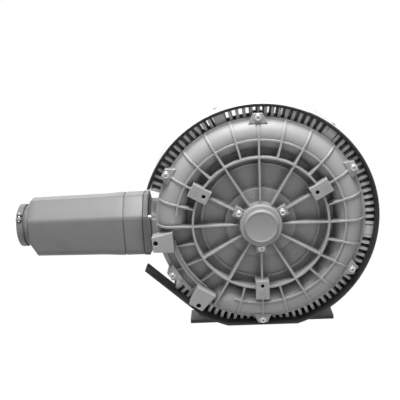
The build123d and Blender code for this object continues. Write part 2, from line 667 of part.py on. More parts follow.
# ---------------------------------------------------------------- rotor
def make_impeller():
    """Impeller: hub, disc and a rim of straight vanes on a thin central web."""
    y0 = IMPELLER_GAP
    mid = y0 + IMPELLER_W / 2
    body = ring(IMPELLER_HUB_R, 0, y0, y0 + IMPELLER_HUB_W)
    body += ring(VANE_INNER_R + 3, 0, mid - IMPELLER_DISC_T / 2, mid + IMPELLER_DISC_T / 2)
    rim = ring(VANE_INNER_R + 3, VANE_INNER_R - 6, y0, y0 + IMPELLER_W)
    web = ring(IMPELLER_R, VANE_INNER_R, mid - VANE_WEB_T / 2, mid + VANE_WEB_T / 2)
    vanes = [radial_bar(VANE_INNER_R, IMPELLER_R - 0.5, VANE_T, y0, y0 + IMPELLER_W, a)
             for a in around(VANE_COUNT)]
    body = body + [rim, web] + vanes
    keyway = box(-KEY_W / 2, KEY_W / 2, y0, y0 + IMPELLER_HUB_W, 0, IMPELLER_SEAT_R + KEY_H / 2 - 1)
    return body - ring(IMPELLER_SEAT_R + FIT, 0, y0, y0 + IMPELLER_HUB_W) - keyway


def make_shaft():
    """Stepped shaft with its keyway."""
    back = IMPELLER_GAP + IMPELLER_HUB_W
    steps = [(SHAFT_NOSE_Y, 24.0), (FRONT_BEARING_Y - 2, BEARING_BORE_R), (IMPELLER_GAP, IMPELLER_SEAT_R),
             (back, CORE_SEAT_R), (CORE_Y1 + WINDING_L, 30.0), (REAR_BEARING_Y, BEARING_BORE_R),
             (REAR_BEARING_Y + BEARING_W, FAN_SEAT_R), (SHAFT_END_Y, None)]
    points = [(0, SHAFT_NOSE_Y)]
    for (y, r), (y_next, _) in zip(steps, steps[1:]):
        points += [(r, y), (r, y_next)]
    points.append((0, SHAFT_END_Y))
    key_y = IMPELLER_GAP + 8
    keyway = box(-KEY_W / 2, KEY_W / 2, key_y, key_y + KEY_L, IMPELLER_SEAT_R - KEY_H / 2 - 1, IMPELLER_SEAT_R + 5)
    return spun(points) - keyway


def make_key():
    """Parallel key of the impeller."""
    key_y = IMPELLER_GAP + 8
    low = IMPELLER_SEAT_R - KEY_H / 2 - 1
    return box(-KEY_W / 2 + FIT, KEY_W / 2 - FIT, key_y + FIT, key_y + KEY_L - FIT, low, low + KEY_H - 0.2)


def bearing(y0):
    """Deep groove ball bearing: outer race, inner race, and its balls joined by their cage."""
    mid = y0 + BEARING_W / 2
    groove = Pos(0, mid, 0) * Rot(90, 0, 0) * Torus(BEARING_PITCH_R, BALL_R + RUN)
    outer = ring(BEARING_OD_R, BEARING_PITCH_R + RACE_SHOULDER, y0, y0 + BEARING_W) - groove
    inner = ring(BEARING_PITCH_R - RACE_SHOULDER, BEARING_BORE_R + FIT, y0, y0 + BEARING_W) - groove
    cage = ring(BEARING_PITCH_R + 1.2, BEARING_PITCH_R - 1.2, mid - 7.5, mid + 7.5)
    balls = []
    for angle in around(BALL_COUNT):
        x, z = polar(BEARING_PITCH_R, angle)
        balls.append(Pos(x, mid, z) * Sphere(BALL_R))
    return outer, inner, cage + balls


def make_shaft_nut():
    """Slotted nut that clamps the front bearing and the impeller on the shaft."""
    nut = ring(33, 25 + FIT, FRONT_BEARING_Y - 9, FRONT_BEARING_Y)
    for angle in around(4):
        nut -= radial_bar(30, 36, 6, FRONT_BEARING_Y - 9, FRONT_BEARING_Y, angle)
    return nut


def make_motor_rotor():
    """Rotor core with its short-circuit rings."""
    core = ring(STATOR_BORE_R - AIR_GAP, CORE_SEAT_R + FIT, CORE_Y0, CORE_Y1)
    ends = [ring(STATOR_BORE_R - 4, 52, CORE_Y0 - END_RING_L, CORE_Y0),
            ring(STATOR_BORE_R - 4, 52, CORE_Y1, CORE_Y1 + END_RING_L)]
    return core + ends


def make_fan():
    """Radial cooling fan of the motor."""
    body = ring(30, FAN_SEAT_R + FIT, FAN_Y, FAN_Y + FAN_W) + ring(FAN_R, 28, FAN_Y, FAN_Y + 3)
    blades = [radial_bar(28, FAN_R - 2, 3, FAN_Y + 2, FAN_Y + FAN_W, a) for a in around(FAN_BLADES)]
    return body + blades


# ---------------------------------------------------------------- motor
def make_motor_frame():
    """Finned motor frame with its flange and the seat of the terminal box."""
    start = PEDESTAL_Y
    body = ring(FRAME_R, FRAME_R - FRAME_T, start, FRAME_END_Y)
    body += ring(PEDESTAL_R, FRAME_R - FRAME_T, start, start + MOTOR_FLANGE_T)
    extras = []
    for angle in around(MOTOR_FIN_COUNT, 360 / MOTOR_FIN_COUNT / 2):
        if abs((angle - 90 + 180) % 360 - 180) > 26:
            extras.append(radial_bar(FRAME_R - 2, MOTOR_FIN_R, MOTOR_FIN_T, start + 26, FAN_COWL_Y0 - 6, angle))
    seat = box(-TBOX_W / 2, TBOX_W / 2, TBOX_Y - TBOX_L / 2, TBOX_Y + TBOX_L / 2, 90, TBOX_FLOOR_Z)
    saddle_y = FOOT_FRONT_Y + FOOT_HOLE_DY
    feet = box(-SPINE_W / 2, SPINE_W / 2, saddle_y - 45, saddle_y - 5, -MOTOR_FIN_R, -FRAME_R + 12)
    eye_pad = box(-20, 20, start + MOTOR_FLANGE_T - 2, start + 48, 100, MOTOR_FIN_R)
    body = body + extras + [seat - ring(FRAME_R - 1, 0, start, FRAME_END_Y),
                            feet - ring(FRAME_R - 1, 0, start, FRAME_END_Y),
                            eye_pad - ring(FRAME_R - 1, 0, start, FRAME_END_Y)]
    for angle in around(MOTOR_BOLT_COUNT, 22.5):
        body -= axial_hole(5.5, MOTOR_BOLT_R, angle, start, start + MOTOR_FLANGE_T)
        body -= axial_hole(10.5, MOTOR_BOLT_R, angle, start + MOTOR_FLANGE_T, start + 48)
    body -= Pos(0, TBOX_Y, 0) * Pos(0, 0, TBOX_FLOOR_Z - 20) * Cylinder(18, 80)
    body -= Pos(0, eye_y(), MOTOR_FIN_R - 9) * Cylinder(6 + FIT, 20)
    for side in (-1, 1):
        hole_at = Pos(side * SADDLE_SCREW_X, saddle_y - SADDLE_SCREW_DY, -MOTOR_FIN_R + 8)
        body -= hole_at * Cylinder(5 + FIT, 18)
    return body


def eye_y():
    """Station of the lifting eye."""
    return PEDESTAL_Y + 33.0


def make_end_shield():
    """Rear end shield with its bearing seat."""
    y0 = REAR_BEARING_Y
    back = y0 + BEARING_W + 3
    shield = ring(FRAME_R, 0, FRAME_END_Y, FRAME_END_Y + SHIELD_T) + ring(58, 0, y0 - 2, back)
    shield += ring(FRAME_R - FRAME_T - FIT, FRAME_R - FRAME_T - 8, FRAME_END_Y - 5, FRAME_END_Y)
    shield -= ring(BEARING_OD_R + FIT, 0, y0 - 2, y0 + BEARING_W)
    shield -= ring(FAN_SEAT_R + 2.5, 0, y0, back)
    for angle in around(4, 45):
        shield -= axial_hole(4.5, FRAME_R - 9, angle, FRAME_END_Y, FRAME_END_Y + SHIELD_T)
    return shield


def make_fan_cowl():
    """Sheet cowl over the fan with a slotted grille."""
    shell = ring(FAN_COWL_R, 0, FAN_COWL_Y0, FAN_COWL_Y1)
    shell -= ring(FAN_COWL_R - FAN_COWL_T, 0, FAN_COWL_Y0, FAN_COWL_Y1 - FAN_COWL_T)
    slots = [radial_bar(40, 118, 8, FAN_COWL_Y1 - 5, FAN_COWL_Y1 + 1, a) for a in around(GRILLE_SLOTS)]
    return shell - slots - fan_cowl_holes()


def fan_cowl_holes():
    """Holes of the four cowl screws."""
    holes = []
    for angle in around(4, 45):
        place = Rot(0, -angle, 0) * Pos(FAN_COWL_R, FAN_COWL_Y0 + 8, 0) * Rot(0, 0, 90)
        holes.append(place * prism(Circle(2.5 + FIT), -3, 14))
    return holes


def make_fan_cowl_lugs():
    """Four blocks on the motor frame that carry the fan cowl."""
    blocks = []
    for angle in around(4, 45):
        block = radial_bar(FRAME_R + FIT, FAN_COWL_R, 16, FAN_COWL_Y0, FRAME_END_Y, angle)
        blocks.append(block & ring(FAN_COWL_R - FAN_COWL_T - FIT, 0, FAN_COWL_Y0, FRAME_END_Y))
    return group(blocks)


def make_terminal_box():
    """Terminal box: base, gasket, lid, terminal board and two plugged cable glands."""
    y0, y1 = TBOX_Y - TBOX_L / 2, TBOX_Y + TBOX_L / 2
    half = TBOX_W / 2
    z0, z1 = TBOX_FLOOR_Z, TBOX_FLOOR_Z + TBOX_H
    base = box(-half, half, y0, y1, z0, z1)
    base -= box(-half + TBOX_T, half - TBOX_T, y0 + TBOX_T, y1 - TBOX_T, z0 + TBOX_T, z1)
    base += [Pos(x, y, (z0 + z1) / 2) * Cylinder(6, TBOX_H) for x, y in tbox_corners()]
    base -= [Pos(x, y, z1 - 8) * Cylinder(2.5 + FIT, 16) for x, y in tbox_corners()]
    base -= Pos(0, TBOX_Y, z0) * Cylinder(18, 3 * TBOX_T)
    gasket = box(-half, half, y0, y1, z1, z1 + TBOX_GASKET_T)
    gasket -= box(-half + 4, half - 4, y0 + 4, y1 - 4, z1, z1 + TBOX_GASKET_T)
    lid = box(-half, half, y0, y1, z1 + TBOX_GASKET_T, z1 + TBOX_GASKET_T + TBOX_LID_T)
    lid = fillet(lid.edges().filter_by(Axis.Z), 6)
    lid -= box(-half + 18, half - 18, y0 + 5, y1 - 5, z1, z1 + TBOX_LID_T - 4)
    lid -= [Pos(x, y, z1 + 8) * Cylinder(3, 2 * TBOX_LID_T) for x, y in tbox_corners()]
    board = box(-38, 38, TBOX_Y + 20, TBOX_Y + 48, z0 + TBOX_T, z0 + TBOX_T + 10)
    board += [Pos(x, TBOX_Y + dy, z0 + TBOX_T + 15) * Cylinder(3, 14) for x in (-26, 0, 26) for dy in (27, 41)]
    glands = []
    for side in (-1, 1):
        x, y, z = half, TBOX_Y + side * GLAND_DY, (z0 + z1) / 2
        place = Pos(x, y, z) * Rot(0, 0, 90)
        base -= place * prism(Circle(GLAND_R * 0.7 + FIT), -2, TBOX_T + 2)
        body = prism(RegularPolygon(GLAND_R, 6), -10, 0) + prism(Circle(GLAND_R * 0.86), -GLAND_L, -10)
        body += prism(Circle(GLAND_R * 0.7), -1, TBOX_T + 4)
        glands.append(place * body)
    return base, gasket, lid, board, group(glands)


def tbox_corners():
    """Screw places of the terminal box lid."""
    dx, dy = TBOX_W / 2 - 9, TBOX_L / 2 - 9
    return [(sx * dx, TBOX_Y + sy * dy) for sx in (-1, 1) for sy in (-1, 1)]


def make_lid_screws():
    """Four lid screws."""
    item = Rot(-90, 0, 0) * screw(4.5, 4, 2.5, 22)
    z = TBOX_FLOOR_Z + TBOX_H + TBOX_GASKET_T + TBOX_LID_T
    return group([Pos(x, y, z) * item for x, y in tbox_corners()])


def make_eye_bolt():
    """Lifting eye on the motor frame."""
    y, z = eye_y(), MOTOR_FIN_R
    eye = Pos(0, y, z + 28) * Rot(90, 0, 0) * Torus(17, 5)
    return Pos(0, y, z + 4) * Cylinder(13, 8) + Pos(0, y, z - 6) * Cylinder(6, 14) + eye


# ---------------------------------------------------------------- feet
def make_foot_frame():
    """Welded steel foot frame under casing and motor."""
    z0, z1 = -SHAFT_HEIGHT, PLATE_T - SHAFT_HEIGHT
    rear_y = FOOT_FRONT_Y + FOOT_HOLE_DY
    front = box(-CROSS_L / 2, CROSS_L / 2, FOOT_FRONT_Y - CROSS_W / 2, FOOT_FRONT_Y + CROSS_W / 2, z0, z1)
    rear = box(-CROSS_L / 2, CROSS_L / 2, rear_y - CROSS_W / 2, rear_y + CROSS_W / 2, z0, z1)
    spine = box(-SPINE_W / 2, SPINE_W / 2, FOOT_FRONT_Y, rear_y, z0, z1)
    top = box(-SPINE_W / 2, SPINE_W / 2, rear_y - 45, rear_y - 5, -MOTOR_FIN_R - SADDLE_T, -MOTOR_FIN_R)
    wall = box(-SPINE_W / 2, SPINE_W / 2, rear_y - 45, rear_y - 45 + SADDLE_T, z1 - 1, -MOTOR_FIN_R)
    frame = front + rear + spine + top + wall
    for side in (-1, 1):
        x = side * (SPINE_W / 2 - SADDLE_T / 2)
        gusset = Polyline((rear_y - 44, z1 - 1), (rear_y + 24, z1 - 1), (rear_y - 5, -MOTOR_FIN_R - 2),
                          (rear_y - 44, -MOTOR_FIN_R - 2), close=True)
        frame += side_prism(make_face(gusset), x - SADDLE_T / 2, x + SADDLE_T / 2)
    for x, y in foot_holes():
        frame -= Pos(x, y, z0 + PLATE_T / 2) * Cylinder(FOOT_HOLE_R, 2 * PLATE_T)
    for side in (-1, 1):
        frame -= Pos(side * LUG_X, (LUG_Y0 + LUG_Y1) / 2, z0) * Cylinder(6.6, 4 * PLATE_T)
        frame -= Pos(side * LUG_X, (LUG_Y0 + LUG_Y1) / 2, z0) * Cylinder(10.5, 13)
        frame -= Pos(side * SADDLE_SCREW_X, rear_y - SADDLE_SCREW_DY, -MOTOR_FIN_R - 5) * Cylinder(5.5, 14)
    return frame


def foot_holes():
    """Centres of the four foot holes."""
    ys = (FOOT_FRONT_Y, FOOT_FRONT_Y + FOOT_HOLE_DY)
    return [(side * FOOT_HOLE_DX / 2, y) for side in (-1, 1) for y in ys]


def make_foot_screws():
    """Two screws up into the casing lugs and two up into the motor's foot pad."""
    up = Rot(90, 0, 0)
    lug_z = 6.5 - SHAFT_HEIGHT
    lug_y = (LUG_Y0 + LUG_Y1) / 2
    saddle_y = FOOT_FRONT_Y + FOOT_HOLE_DY - SADDLE_SCREW_DY
    solids = [Pos(side * LUG_X, lug_y, lug_z) * up * screw(9, 6, 6, 24) for side in (-1, 1)]
    saddle_z = -MOTOR_FIN_R - SADDLE_T
    hexagon = up * screw(8, 6, 5, 24, True)
    solids += [Pos(side * SADDLE_SCREW_X, saddle_y, saddle_z) * hexagon for side in (-1, 1)]
    return group(solids)


# ---------------------------------------------------------------- every piece
def pieces():
    """All pieces of the machine, by node name, in the machine frame."""
    out = {"cover": make_cover(), "casing": make_casing(), "bearing_cap": make_bearing_cap()}
    out["bearing_cap_screws"] = screws_on_circle(screw(6.5, 8, 4, 26), HUB_SCREW_R, around(3, 30),
                                                 -HUB_BOSS_Y - 8)
    out["cover_screws"] = screws_on_circle(screw(7.5, 8, 4, EAR_Y + 24), SCREW_RING_R,
                                           around(SCREW_COUNT, 30), -EAR_Y)
    seal_half = SEAL_GROOVE_W / 2 - 0.1
    out["cover_seal"] = ring(SEAL_GROOVE_R + seal_half, SEAL_GROOVE_R - seal_half, FIT,
                             SEAL_GROOVE_DEPTH - 0.05)
    out["cowl_band"], out["cowl_liner"] = make_cowl()
    out["cowl_screws"] = group([cowl_screw_place(a) * screw(6, 4, 3, 26) for a in BOSS_ANGLES])
    out["impeller"] = make_impeller()
    out["shaft"] = make_shaft()
    out["impeller_key"] = make_key()
    out["bearing_spacer"] = ring(SPACER_R, BEARING_BORE_R + FIT, FRONT_BEARING_Y + BEARING_W, IMPELLER_GAP)
    out["shaft_nut"] = make_shaft_nut()
    for place, y0 in (("front", FRONT_BEARING_Y), ("rear", REAR_BEARING_Y)):
        outer, inner, cage = bearing(y0)
        out[f"{place}_bearing_outer"] = outer
        out[f"{place}_bearing_inner"] = inner
        out[f"{place}_bearing_cage"] = cage
    out["front_shaft_seal"] = ring(SEAL_R, SPACER_R + RUN, SEAL_Y, SEAL_Y + SEAL_W)
    out["rear_shaft_seal"] = ring(REAR_SEAL_R, CORE_SEAT_R + RUN, REAR_SEAL_Y, REAR_SEAL_Y + SEAL_W)
    out["motor_frame"] = make_motor_frame()
    out["motor_screws"] = group([turned(Pos(MOTOR_BOLT_R, PEDESTAL_Y + MOTOR_FLANGE_T, 0) * Rot(180, 0, 0)
                                        * screw(8, 10, 5, MOTOR_FLANGE_T + 22), a)
                                 for a in around(MOTOR_BOLT_COUNT, 22.5)])
    out["stator_core"] = ring(FRAME_R - FRAME_T - FIT, STATOR_BORE_R, CORE_Y0, CORE_Y1)
    out["windings"] = group([ring(WINDING_OUT_R, WINDING_IN_R, CORE_Y0 - WINDING_L, CORE_Y0),
                             ring(WINDING_OUT_R, WINDING_IN_R, CORE_Y1, CORE_Y1 + WINDING_L)])
    out["motor_rotor"] = make_motor_rotor()
    out["end_shield"] = make_end_shield()
    out["fan"] = make_fan()
    out["fan_cowl"] = make_fan_cowl()
    out["fan_cowl_lugs"] = make_fan_cowl_lugs() - fan_cowl_holes()
    out["fan_cowl_screws"] = group([Rot(0, -a, 0) * Pos(FAN_COWL_R, FAN_COWL_Y0 + 8, 0) * Rot(0, 0, 90)
                                    * screw(5, 3, 2.5, 12) for a in around(4, 45)])
    names = ("terminal_box", "terminal_box_gasket", "terminal_box_lid", "terminal_board", "cable_glands")
    out.update(zip(names, make_terminal_box()))
    out["terminal_lid_screws"] = make_lid_screws()
    out["lifting_eye"] = make_eye_bolt()
    out.update(make_silencer())
    out["silencer_screws"] = make_silencer_screws()
    out["inlet_gasket"], out["inlet_flange"], out["inlet_screws"] = make_inlet()
    out["foot_frame"] = make_foot_frame()
    out["foot_screws"] = make_foot_screws()
    return out


def row_frame():
    """Location that puts the origin in the middle of the foot holes on the floor."""
    return Pos(0, -(FOOT_FRONT_Y + FOOT_HOLE_DY / 2), SHAFT_HEIGHT)


def main():
    """Build every piece and write one STEP file per node."""
    os.makedirs("parts", exist_ok=True)
    for name, part in pieces().items():
        export_step(row_frame() * part, f"parts/{name}.step")
        print(name, len(part.solids()), round(part.volume / 1000, 1))


if __name__ == "__main__":
    main()
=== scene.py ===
"""Side channel blower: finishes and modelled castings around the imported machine.

Sizes of the pieces are millimetres in the machine frame: the origin is where the shaft crosses
the parting plane of cover and casing, the shaft runs along Y and the ribbed cover faces -Y.
Angles are degrees, anticlockwise from +X as seen from the cover side. Finishes, lamps and floor
are in metres.
"""
import json
import logging
import math
from dataclasses import dataclass
from enum import Enum
from typing import Any, Iterable, Sequence

import bmesh
import bpy
from mathutils import Matrix, Vector


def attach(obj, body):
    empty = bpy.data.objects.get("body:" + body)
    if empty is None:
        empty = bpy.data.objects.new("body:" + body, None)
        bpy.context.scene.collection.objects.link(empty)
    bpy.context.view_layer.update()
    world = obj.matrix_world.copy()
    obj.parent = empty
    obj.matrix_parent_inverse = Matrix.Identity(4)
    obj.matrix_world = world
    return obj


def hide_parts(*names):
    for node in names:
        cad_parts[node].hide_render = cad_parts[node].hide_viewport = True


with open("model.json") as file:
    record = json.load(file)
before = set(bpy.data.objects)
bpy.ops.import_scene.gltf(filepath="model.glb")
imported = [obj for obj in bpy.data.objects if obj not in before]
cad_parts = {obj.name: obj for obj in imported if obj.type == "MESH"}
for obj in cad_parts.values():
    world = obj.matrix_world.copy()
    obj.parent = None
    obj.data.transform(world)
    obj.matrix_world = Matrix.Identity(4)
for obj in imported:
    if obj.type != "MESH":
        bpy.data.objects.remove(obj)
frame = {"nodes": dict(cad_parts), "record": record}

LOG = logging.getLogger("blower")
MM = 0.001
FULL_TURN = 360.0
HOUSING = "housing"

# Surface of every metal and soft finish: noises, where they start to show, and how deep they go. EDGE_BAND
# sets where the painted edge highlight starts, RECESS_POWER how the painted shade in recesses falls off.
STAIN_NOISE = {"Scale": 14.0, "Detail": 5.0, "Roughness": 0.65}
SPECK_NOISE = {"Scale": 260.0, "Detail": 4.0, "Roughness": 0.7}
DUST_NOISE = {"Scale": 22.0, "Detail": 5.0}
DUST_BAND = (0.35, 0.75)
EDGE_BAND = (0.02, 0.25)
RECESS_POWER = 1.4
SPECK_ROUGHNESS = 0.18
RECESS_ROUGHNESS = 0.2
STAIN_HEIGHT = 0.6
METAL_BUMP = 0.0006
SOFT_BUMP = 0.0005
SHADOW_TONE = 0.02
SHADOW_EDGE = 0.001

Point2 = tuple[float, float]
Point3 = tuple[float, float, float]


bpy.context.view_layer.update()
SPIN = next(j for j in frame["record"]["behaviour"]["joints"] if j["name"] == "rotor_spin")
ORIGIN = Vector(SPIN["pos_m"])


def place(x: float, y: float, z: float) -> Vector:
    """Point of the row frame for a point of the machine frame.

    Args:
        x: Millimetres to the right of the shaft.
        y: Millimetres behind the parting plane.
        z: Millimetres above the shaft.

    Returns:
        The point in metres.
    """
    return ORIGIN + Vector((x, y, z)) * MM


def polar(r: float, angle: float) -> Point2:
    """(x, z) at a radius and an angle about the shaft."""
    return r * math.cos(math.radians(angle)), r * math.sin(math.radians(angle))


def turns(count: int) -> list[float]:
    """Angles of an even circle, in radians."""
    return [2 * math.pi * k / count for k in range(count)]


# ------------------------------------------------------------------------------ node building
class Sock:
    """A shader or geometry socket whose arithmetic adds Math nodes."""

    def __init__(self, graph: "Graph", socket: bpy.types.NodeSocket) -> None:
        """Wrap an output socket of a graph."""
        self.graph = graph
        self.socket = socket

    def _math(self, operation: str, first: Any, second: Any) -> "Sock":
        """One Math node on two values."""
        return self.graph.add("ShaderNodeMath", {"operation": operation}, {0: first, 1: second})

    def __add__(self, other: Any) -> "Sock":
        """Sum."""
        return self._math("ADD", self, other)

    __radd__ = __add__

    def __mul__(self, other: Any) -> "Sock":
        """Product."""
        return self._math("MULTIPLY", self, other)

    __rmul__ = __mul__

    def __sub__(self, other: Any) -> "Sock":
        """Difference."""
        return self._math("SUBTRACT", self, other)

    def __rsub__(self, other: Any) -> "Sock":
        """Reflected difference."""
        return self._math("SUBTRACT", other, self)

    def __pow__(self, other: Any) -> "Sock":
        """Power."""
        return self._math("POWER", self, other)

    def between(self, low: float, high: float) -> "Sock":
        """Value mapped so that low gives 0 and high gives 1, clamped."""
        inputs = {"Value": self, "From Min": low, "From Max": high}
        return self.graph.add("ShaderNodeMapRange", {"clamp": True}, inputs)


class Graph:
    """A node tree with one method that adds any node."""

    def __init__(self, tree: bpy.types.NodeTree) -> None:
        """Wrap a node tree."""
        self.tree = tree

    def node(self, kind: str, settings: dict[str, Any] | None = None,
             inputs: dict[Any, Any] | None = None) -> bpy.types.Node:
        """Add a node.

        Args:
            kind: Blender's node type.
            settings: Properties, set before the inputs.
            inputs: Values or Socks by input name or index.

        Returns:
            The new node.
        """
        made = self.tree.nodes.new(kind)
        for name, value in (settings or {}).items():
            setattr(made, name, value)
        for key, value in (inputs or {}).items():
            if isinstance(value, Sock):
                self.tree.links.new(value.socket, made.inputs[key])
            elif value is not None:
                made.inputs[key].default_value = value
        return made

    def add(self, kind: str, settings: dict[str, Any] | None = None,
            inputs: dict[Any, Any] | None = None, out: Any = 0) -> Sock:
        """Add a node and take one of its outputs.

        Args:
            kind: Blender's node type.
            settings: Properties, set before the inputs.
            inputs: Values or Socks by input name or index.
            out: Name or index of the output.

        Returns:
            The output.
        """
        return Sock(self, self.node(kind, settings, inputs).outputs[out])

    def ramp(self, value: Sock, stops: Sequence[tuple[float, float]]) -> Sock:
        """Colour ramp of greys.

        Args:
            value: The factor.
            stops: (position, grey) pairs, in order.

        Returns:
            The ramp's colour.
        """
        made = self.node("ShaderNodeValToRGB", None, {"Fac": value})
        elements = made.color_ramp.elements
        while len(elements) < len(stops):
            elements.new(0.5)
        for element, (position, grey) in zip(elements, stops):
            element.position = position
            element.color = (grey, grey, grey, 1.0)
        return Sock(self, made.outputs["Color"])

    def mix(self, factor: Any, first: Any, second: Any, blend: str = "MIX") -> Sock:
        """Mix two colours.

        Args:
            factor: Share of the second colour.
            first: First colour or Sock.
            second: Second colour or Sock.
            blend: Blender's blend type.

        Returns:
            The mixed colour.
        """
        settings = {"data_type": "RGBA", "blend_type": blend}
        return self.add("ShaderNodeMix", settings, {"Factor": factor, 6: first, 7: second}, out=2)


def grey(value: float) -> tuple[float, float, float, float]:
    """Opaque grey."""
    return (value, value, value, 1.0)


# ------------------------------------------------------------------------------ finishes
@dataclass(frozen=True)
class MetalFinish:
    """Cast, machined or painted metal with grain, stains, painted shade in recesses and painted highlights on
    edges.

    Between dark_from_x and dark_to_x, in metres of the row frame, a painted shadow darkens the metal's
    colour.
    """

    name: str
    tone: float = 0.5
    metallic: float = 0.1
    roughness: float = 0.55
    shine: float = 0.5
    grain_scale: float = 900.0
    grain_height: float = 0.25
    mottle: float = 0.12
    # Strength of the painted shade that ambient occlusion puts in recesses.
    recess_shade: float = 0.55
    recess_reach: float = 0.03
    edge_round: float = 0.0012
    # Strength and grey of the painted highlight on edges.
    edge_highlight: float = 0.25
    edge_highlight_tone: float = 0.7
    dark_from_x: float = -10.0
    dark_to_x: float = -10.0
    dark: float = 0.4

    def build(self) -> bpy.types.Material:
        """Material of this finish."""
        material = bpy.data.materials.new(self.name)
        material.use_nodes = True
        material.node_tree.nodes.clear()
        g = Graph(material.node_tree)
        where = g.add("ShaderNodeTexCoord", out="Object")
        fine = g.add("ShaderNodeTexNoise", None,
                     {"Vector": where, "Scale": self.grain_scale, "Detail": 3.0, "Roughness": 0.6})
        broad = g.add("ShaderNodeTexNoise", None, {"Vector": where, **STAIN_NOISE})
        speck = g.add("ShaderNodeTexNoise", None, {"Vector": where, **SPECK_NOISE})
        rounded = g.add("ShaderNodeBevel", {"samples": 4}, {"Radius": self.edge_round})
        flat = g.add("ShaderNodeNewGeometry", out="Normal")
        along = g.add("ShaderNodeVectorMath", {"operation": "DOT_PRODUCT"}, {0: rounded, 1: flat},
                      out="Value")
        edge = (1.0 - along).between(*EDGE_BAND)
        # Painted shade: ambient occlusion darkens the base colour in recesses, multiplied with the random
        # stains.
        sky = g.add("ShaderNodeAmbientOcclusion", {"samples": 8}, {"Distance": self.recess_reach}, out="AO")
        shade = (sky ** RECESS_POWER) * self.recess_shade + (1.0 - self.recess_shade)
        stain = (broad - 0.5) * (2.0 * self.mottle) + (speck - 0.5) * self.mottle + 1.0
        stain_and_painted_shade = g.ramp(shade * stain, ((0.0, 0.0), (1.0, 1.0)))
        colour = g.mix(1.0, grey(self.tone), stain_and_painted_shade, "MULTIPLY")
        # Painted highlight: the colour is lightened along edges, where the rounded normal turns from the flat
        # one.
        colour = g.mix(edge * self.edge_highlight, colour, grey(self.edge_highlight_tone))
        # Painted shadow: between the two x stations the colour is darkened towards a near-black grey.
        if self.dark_to_x > self.dark_from_x:
            along_x = g.add("ShaderNodeSeparateXYZ", None, {"Vector": where}, out="X")
            inside = along_x.between(self.dark_from_x, self.dark_from_x + SHADOW_EDGE)
            past = along_x.between(self.dark_to_x - SHADOW_EDGE, self.dark_to_x)
            colour = g.mix((inside - past) * self.dark, colour, grey(SHADOW_TONE))
        rough = (speck - 0.5) * SPECK_ROUGHNESS + (1.0 - sky) * RECESS_ROUGHNESS + self.roughness
        bump = g.add("ShaderNodeBump", None, {"Strength": self.grain_height, "Distance": METAL_BUMP,
                                              "Height": fine + broad * STAIN_HEIGHT, "Normal": rounded})
        shader = g.add("ShaderNodeBsdfPrincipled", None,
                       {"Base Color": colour, "Specular IOR Level": self.shine, "Metallic": self.metallic,
                        "Roughness": rough, "Normal": bump})
        g.node("ShaderNodeOutputMaterial", None, {"Surface": shader})
        return material


@dataclass(frozen=True)
class SoftFinish:
    """Rubber, foam, plastic or lacquered wire."""

    name: str
    colour: tuple[float, float, float, float] = (0.02, 0.02, 0.02, 1.0)
    roughness: float = 0.7
    grain_scale: float = 500.0
    grain_height: float = 0.3
    variation: float = 0.25

    def build(self) -> bpy.types.Material:
        """Material of this finish."""
        material = bpy.data.materials.new(self.name)
        material.use_nodes = True
        material.node_tree.nodes.clear()
        g = Graph(material.node_tree)
        where = g.add("ShaderNodeTexCoord", out="Object")
        grain = g.add("ShaderNodeTexNoise", None, {"Vector": where, "Scale": self.grain_scale, "Detail": 3.0})
        dust = g.add("ShaderNodeTexNoise", None, {"Vector": where, **DUST_NOISE})
        lighter = tuple(min(1.0, c * 1.8 + 0.01) for c in self.colour[:3]) + (1.0,)
        colour = g.mix(dust.between(*DUST_BAND) * self.variation, self.colour, lighter)
        bump = g.add("ShaderNodeBump", None,
                     {"Strength": self.grain_height, "Distance": SOFT_BUMP, "Height": grain})
        rough = (dust - 0.5) * 0.2 + self.roughness
        shader = g.add("ShaderNodeBsdfPrincipled", None,
                       {"Base Color": colour, "Roughness": rough, "Normal": bump})
        g.node("ShaderNodeOutputMaterial", None, {"Surface": shader})
        return material


